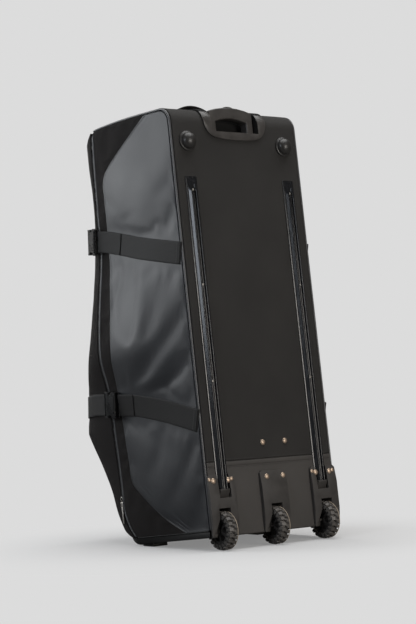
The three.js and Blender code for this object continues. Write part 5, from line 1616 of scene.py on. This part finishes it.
def make_tyre(name, x):
    """Round-shouldered tyre with two staggered rows of chunky tread blocks and lugs down each wall."""
    turn = np.radians(np.linspace(-70, 250, 22))
    half, root = TYRE_WIDTH / 2, TYRE_RADIUS - 0.0066
    middle, swell = (HUB_RADIUS + root) / 2 + 0.0001, (root - HUB_RADIUS) / 2
    section = np.stack([middle + swell * np.sin(turn), (half - 0.0008) * np.cos(turn)], -1)
    section = np.concatenate([section, [[HUB_RADIUS + GAP, -0.0088], [HUB_RADIUS + GAP, 0.0088]]])
    angle = 2 * math.pi * np.arange(TYRE_SIDES) / TYRE_SIDES
    axle = np.array([x, -AXLE_DEPTH, AXLE_HEIGHT])
    radial = at(0 * angle, -np.sin(angle), np.cos(angle))
    across = repeated(ACROSS, radial)
    parts = [sweep_mesh(np.broadcast_to(axle, radial.shape), radial, across, section, closed=True)]
    down = math.atan2(-math.cos(LEAN), math.sin(LEAN))
    first = math.pi - math.atan2(math.cos(down), -math.sin(down))

    def directions(stagger):
        """Outward directions of a row of knobs, the first set off from the ground by a share of a step."""
        turn = first + 2 * math.pi * (np.arange(KNOB_COUNT) + stagger) / KNOB_COUNT
        return at(0 * turn, -np.sin(turn), np.cos(turn))

    for row in (-1.0, 1.0):
        out = directions(0.25 * row)
        side = repeated((row, 0, 0), out)
        parts += [knobs("block", axle, out, side, 0.0057), knobs("lug", axle, out, side, half - 0.0016)]
    out = directions(0.5)
    parts.append(knobs("centre", axle, out, repeated(ACROSS, out), 0.0))
    piece = add_form(f"tread_{name}", parts, tyre_rubber, body=f"wheel_{name}", replaces=[f"tyre_{name}"],
                     slot="tyre")
    smooth_by_angle(piece, 40)
    origins = axle + radial * (TYRE_RADIUS - 0.0018) - across * (half - 0.0007)
    points, faces = sweep_mesh(origins, radial, across, round_section(MOULD_LINE_WIRE, 6), closed=True)
    add_mesh(f"mould_line_{name}", points, faces, mould_line, body=f"wheel_{name}", slot="tyre")


def make_wheels():
    """A tyre for each wheel."""
    wheel_x = BODY_WIDTH / 2 - WHEEL_INSET
    for name, x in (("left", wheel_x), ("middle", 0.0), ("right", -wheel_x)):
        make_tyre(name, x)


# Handles

def make_grab_handle():
    """Webbing handle across the top: an arch as a cosine to the power 0.8, with flat sewn ends."""
    x = np.linspace(-GRAB_REACH - GRAB_SEWN, GRAB_REACH + GRAB_SEWN, 120)
    arch = GRAB_RISE * np.cos(math.pi / 2 * np.clip(np.abs(x) / GRAB_REACH, 0, 1)) ** 0.8
    middle = at(x, GRAB_DEPTH + 0 * x, top_surface(x, np.full_like(x, GRAB_DEPTH)) + 0.0006 + arch)
    run = unit(np.gradient(middle, axis=0))
    across = repeated(BACKWARD, run)
    out = unit(np.cross(across, run))
    out = out * np.sign(out[:, 2:])
    add_band("grab_handle_band", middle, across, out, ["top_grab_handle"], width=GRAB_WIDTH, wall=GRAB_WALL)
    stitches = []
    for end in (-1, 1):
        for start in (GRAB_REACH + 0.004, GRAB_REACH + GRAB_SEWN - 0.004):
            line = at(end * start + np.zeros(12), GRAB_DEPTH + np.linspace(-0.015, 0.015, 12),
                      top_surface(end * start, np.full(12, GRAB_DEPTH)) + 0.0043)
            stitches.append(stitch_line(line, repeated(UPWARD, line)))
    add_form("grab_handle_stitches", stitches, thread, slot="webbing")


def make_seam_stitches():
    """Rows of thread along the panel edges and the back seam."""
    parts = []
    half = BODY_WIDTH / 2 - SEAM_INSET - 0.004
    x = np.linspace(-half, half, 80)
    for z, rise in ((SEAM_HEIGHT + 0.0045, 0.0001), (SEAM_HEIGHT - 0.0125, 0.0001)):
        line = at(x, 0 * x - rise, z + 0 * x)
        parts.append(stitch_line(line, repeated(BACKWARD, line)))
    for name, side, seed in SIDES:
        up = np.linspace(0.02, 0.985, 400)
        depth = edge_depth(up) - 0.006
        z = side_height(up, depth)
        relief = side_relief(z, depth, seed) + 0.0006
        line = side_points(side, up, depth, 0, relief)
        clear = under_straps(z, depth) < 0.95
        for block in np.split(np.arange(len(up)), np.flatnonzero(np.diff(clear.astype(int))) + 1):
            if clear[block[0]] and len(block) > 3:
                parts.append(stitch_line(line[block], repeated((side, 0, 0), line[block])))
    add_form("seam_stitches", parts, thread, slot="black_cloth")


# Stage, light and camera

CAMERA_PLACE = (2.373, 3.152, 0.346)
CAMERA_AIM = (0.1096, 0.1672, 0.5174)
CAMERA_ROLL = math.radians(-2.67)
CAMERA_LENS = 98.1
BACKDROP = 0.716
SURROUND = 0.05
FLOOR_GLOW = 0.30


def seen_directly(tree, shown, felt):
    """Mix of two shaders: one for what the camera sees, one for what lights and reflects in the bag."""
    path = tree.nodes.new("ShaderNodeLightPath")
    mix = tree.nodes.new("ShaderNodeMixShader")
    tree.links.new(path.outputs["Is Camera Ray"], mix.inputs["Fac"])
    tree.links.new(felt, mix.inputs[1])
    tree.links.new(shown, mix.inputs[2])
    return mix.outputs["Shader"]


def make_stage():
    """Pale floor that fades into the backdrop's own tone away from the bag."""
    mesh = bpy.data.meshes.new("floor")
    half = 40.0
    corners = [(-half, -half, 0), (half, -half, 0), (half, half, 0), (-half, half, 0)]
    mesh.from_pydata(corners, [], [(0, 1, 2, 3)])
    floor = bpy.data.objects.new("floor", mesh)
    link_to_scene(floor)
    material = bpy.data.materials.new("pale floor")
    material.use_nodes = True
    tree = material.node_tree
    shader = tree.nodes["Principled BSDF"]
    shader.inputs["Base Color"].default_value = (0.80, 0.80, 0.80, 1)
    shader.inputs["Roughness"].default_value = 0.9
    shader.inputs["Specular IOR Level"].default_value = 0.1
    glow = tree.nodes.new("ShaderNodeEmission")
    glow.inputs["Color"].default_value = (BACKDROP, BACKDROP, BACKDROP, 1)
    place = tree.nodes.new("ShaderNodeTexCoord")
    distance = tree.nodes.new("ShaderNodeVectorMath")
    distance.operation = "LENGTH"
    fade = tree.nodes.new("ShaderNodeMapRange")
    fade.interpolation_type = "SMOOTHSTEP"
    fade.inputs["From Min"].default_value = 0.22
    fade.inputs["From Max"].default_value = 0.72
    fade.inputs["To Min"].default_value = FLOOR_GLOW
    mix = tree.nodes.new("ShaderNodeMixShader")
    dim = tree.nodes.new("ShaderNodeBsdfDiffuse")
    dim.inputs["Color"].default_value = (0.20, 0.20, 0.20, 1)
    output = tree.nodes["Material Output"]
    tree.links.new(place.outputs["Object"], distance.inputs[0])
    tree.links.new(distance.outputs["Value"], fade.inputs["Value"])
    tree.links.new(fade.outputs["Result"], mix.inputs["Fac"])
    tree.links.new(shader.outputs["BSDF"], mix.inputs[1])
    tree.links.new(glow.outputs["Emission"], mix.inputs[2])
    surface = seen_directly(tree, mix.outputs["Shader"], dim.outputs["BSDF"])
    tree.links.new(surface, output.inputs["Surface"])
    floor.data.materials.append(material)


def add_light(name, place, aim, size, power, colour=(1, 1, 1)):
    """Rectangular softbox that points at aim."""
    data = bpy.data.lights.new(name, "AREA")
    data.shape = "RECTANGLE"
    data.size, data.size_y = size
    data.energy = power
    data.color = colour
    light = bpy.data.objects.new(name, data)
    light.location = place
    light.rotation_euler = (Vector(aim) - Vector(place)).to_track_quat("-Z", "Y").to_euler()
    link_to_scene(light)


def make_lights():
    """Grey surround, an overhead softbox, a high one at the front left for the coated cloth, a strip on the
    left, and soft fills in front of the bag and beside the camera."""
    world = bpy.data.worlds.new("surround")
    world.use_nodes = True
    tree = world.node_tree
    shown = tree.nodes["Background"]
    shown.inputs["Color"].default_value = (BACKDROP, BACKDROP, BACKDROP, 1)
    felt = tree.nodes.new("ShaderNodeBackground")
    felt.inputs["Color"].default_value = (SURROUND, SURROUND, SURROUND, 1)
    surface = seen_directly(tree, shown.outputs["Background"], felt.outputs["Background"])
    tree.links.new(surface, tree.nodes["World Output"].inputs["Surface"])
    bpy.context.scene.world = world
    add_light("overhead softbox", (-0.35, 0.3, 3.2), (0, 0.1, 0), (2.6, 2.6), 62)
    add_light("front left softbox", (1.75, -2.1, 1.54), (0.15, 0, 0.73), (1.7, 2.0), 37, (0.94, 0.97, 1.0))
    add_light("left strip", (2.8, 1.05, 1.40), (0, 0, 0.7), (0.6, 1.1), 15, (0.84, 0.91, 1.0))
    add_light("front fill", (-0.7, -3.3, 1.7), (0, 0, 0.5), (2.0, 2.0), 34, (1.0, 0.97, 0.94))
    add_light("camera softbox", (-0.45, 3.9, 0.85), (0, 0, 0.5), (1.5, 1.5), 54, (1.0, 0.95, 0.89))


def make_camera():
    """Camera at the photograph's place: a long lens, low down, behind and to the left of the bag."""
    data = bpy.data.cameras.new("camera")
    data.lens = CAMERA_LENS
    data.sensor_width = 36.0
    data.sensor_fit = "AUTO"
    camera = bpy.data.objects.new("camera", data)
    camera.location = CAMERA_PLACE
    aim = (Vector(CAMERA_AIM) - Vector(CAMERA_PLACE)).to_track_quat("-Z", "Y")
    camera.rotation_mode = "QUATERNION"
    camera.rotation_quaternion = aim @ Matrix.Rotation(CAMERA_ROLL, 3, "Z").to_quaternion()
    link_to_scene(camera)
    bpy.context.scene.camera = camera
    bpy.context.scene.view_settings.view_transform = "Standard"


make_camera()
make_lights()
make_stage()
for side_name, side_sign, side_seed in SIDES:
    make_side_panel(side_name, side_sign, side_seed)
    make_gusset(side_name, side_sign, side_seed)
make_lid()
make_back_panel()
make_lower_back()
make_top_panel()
make_rim_piping()
make_zip()
make_base_trim()
make_side_piping()
make_zip_pulls()
make_straps()
make_rails()
make_domes()
make_fasteners()
make_moulded_parts()
make_wheels()
make_grab_handle()
make_seam_stitches()
dress_nodes()
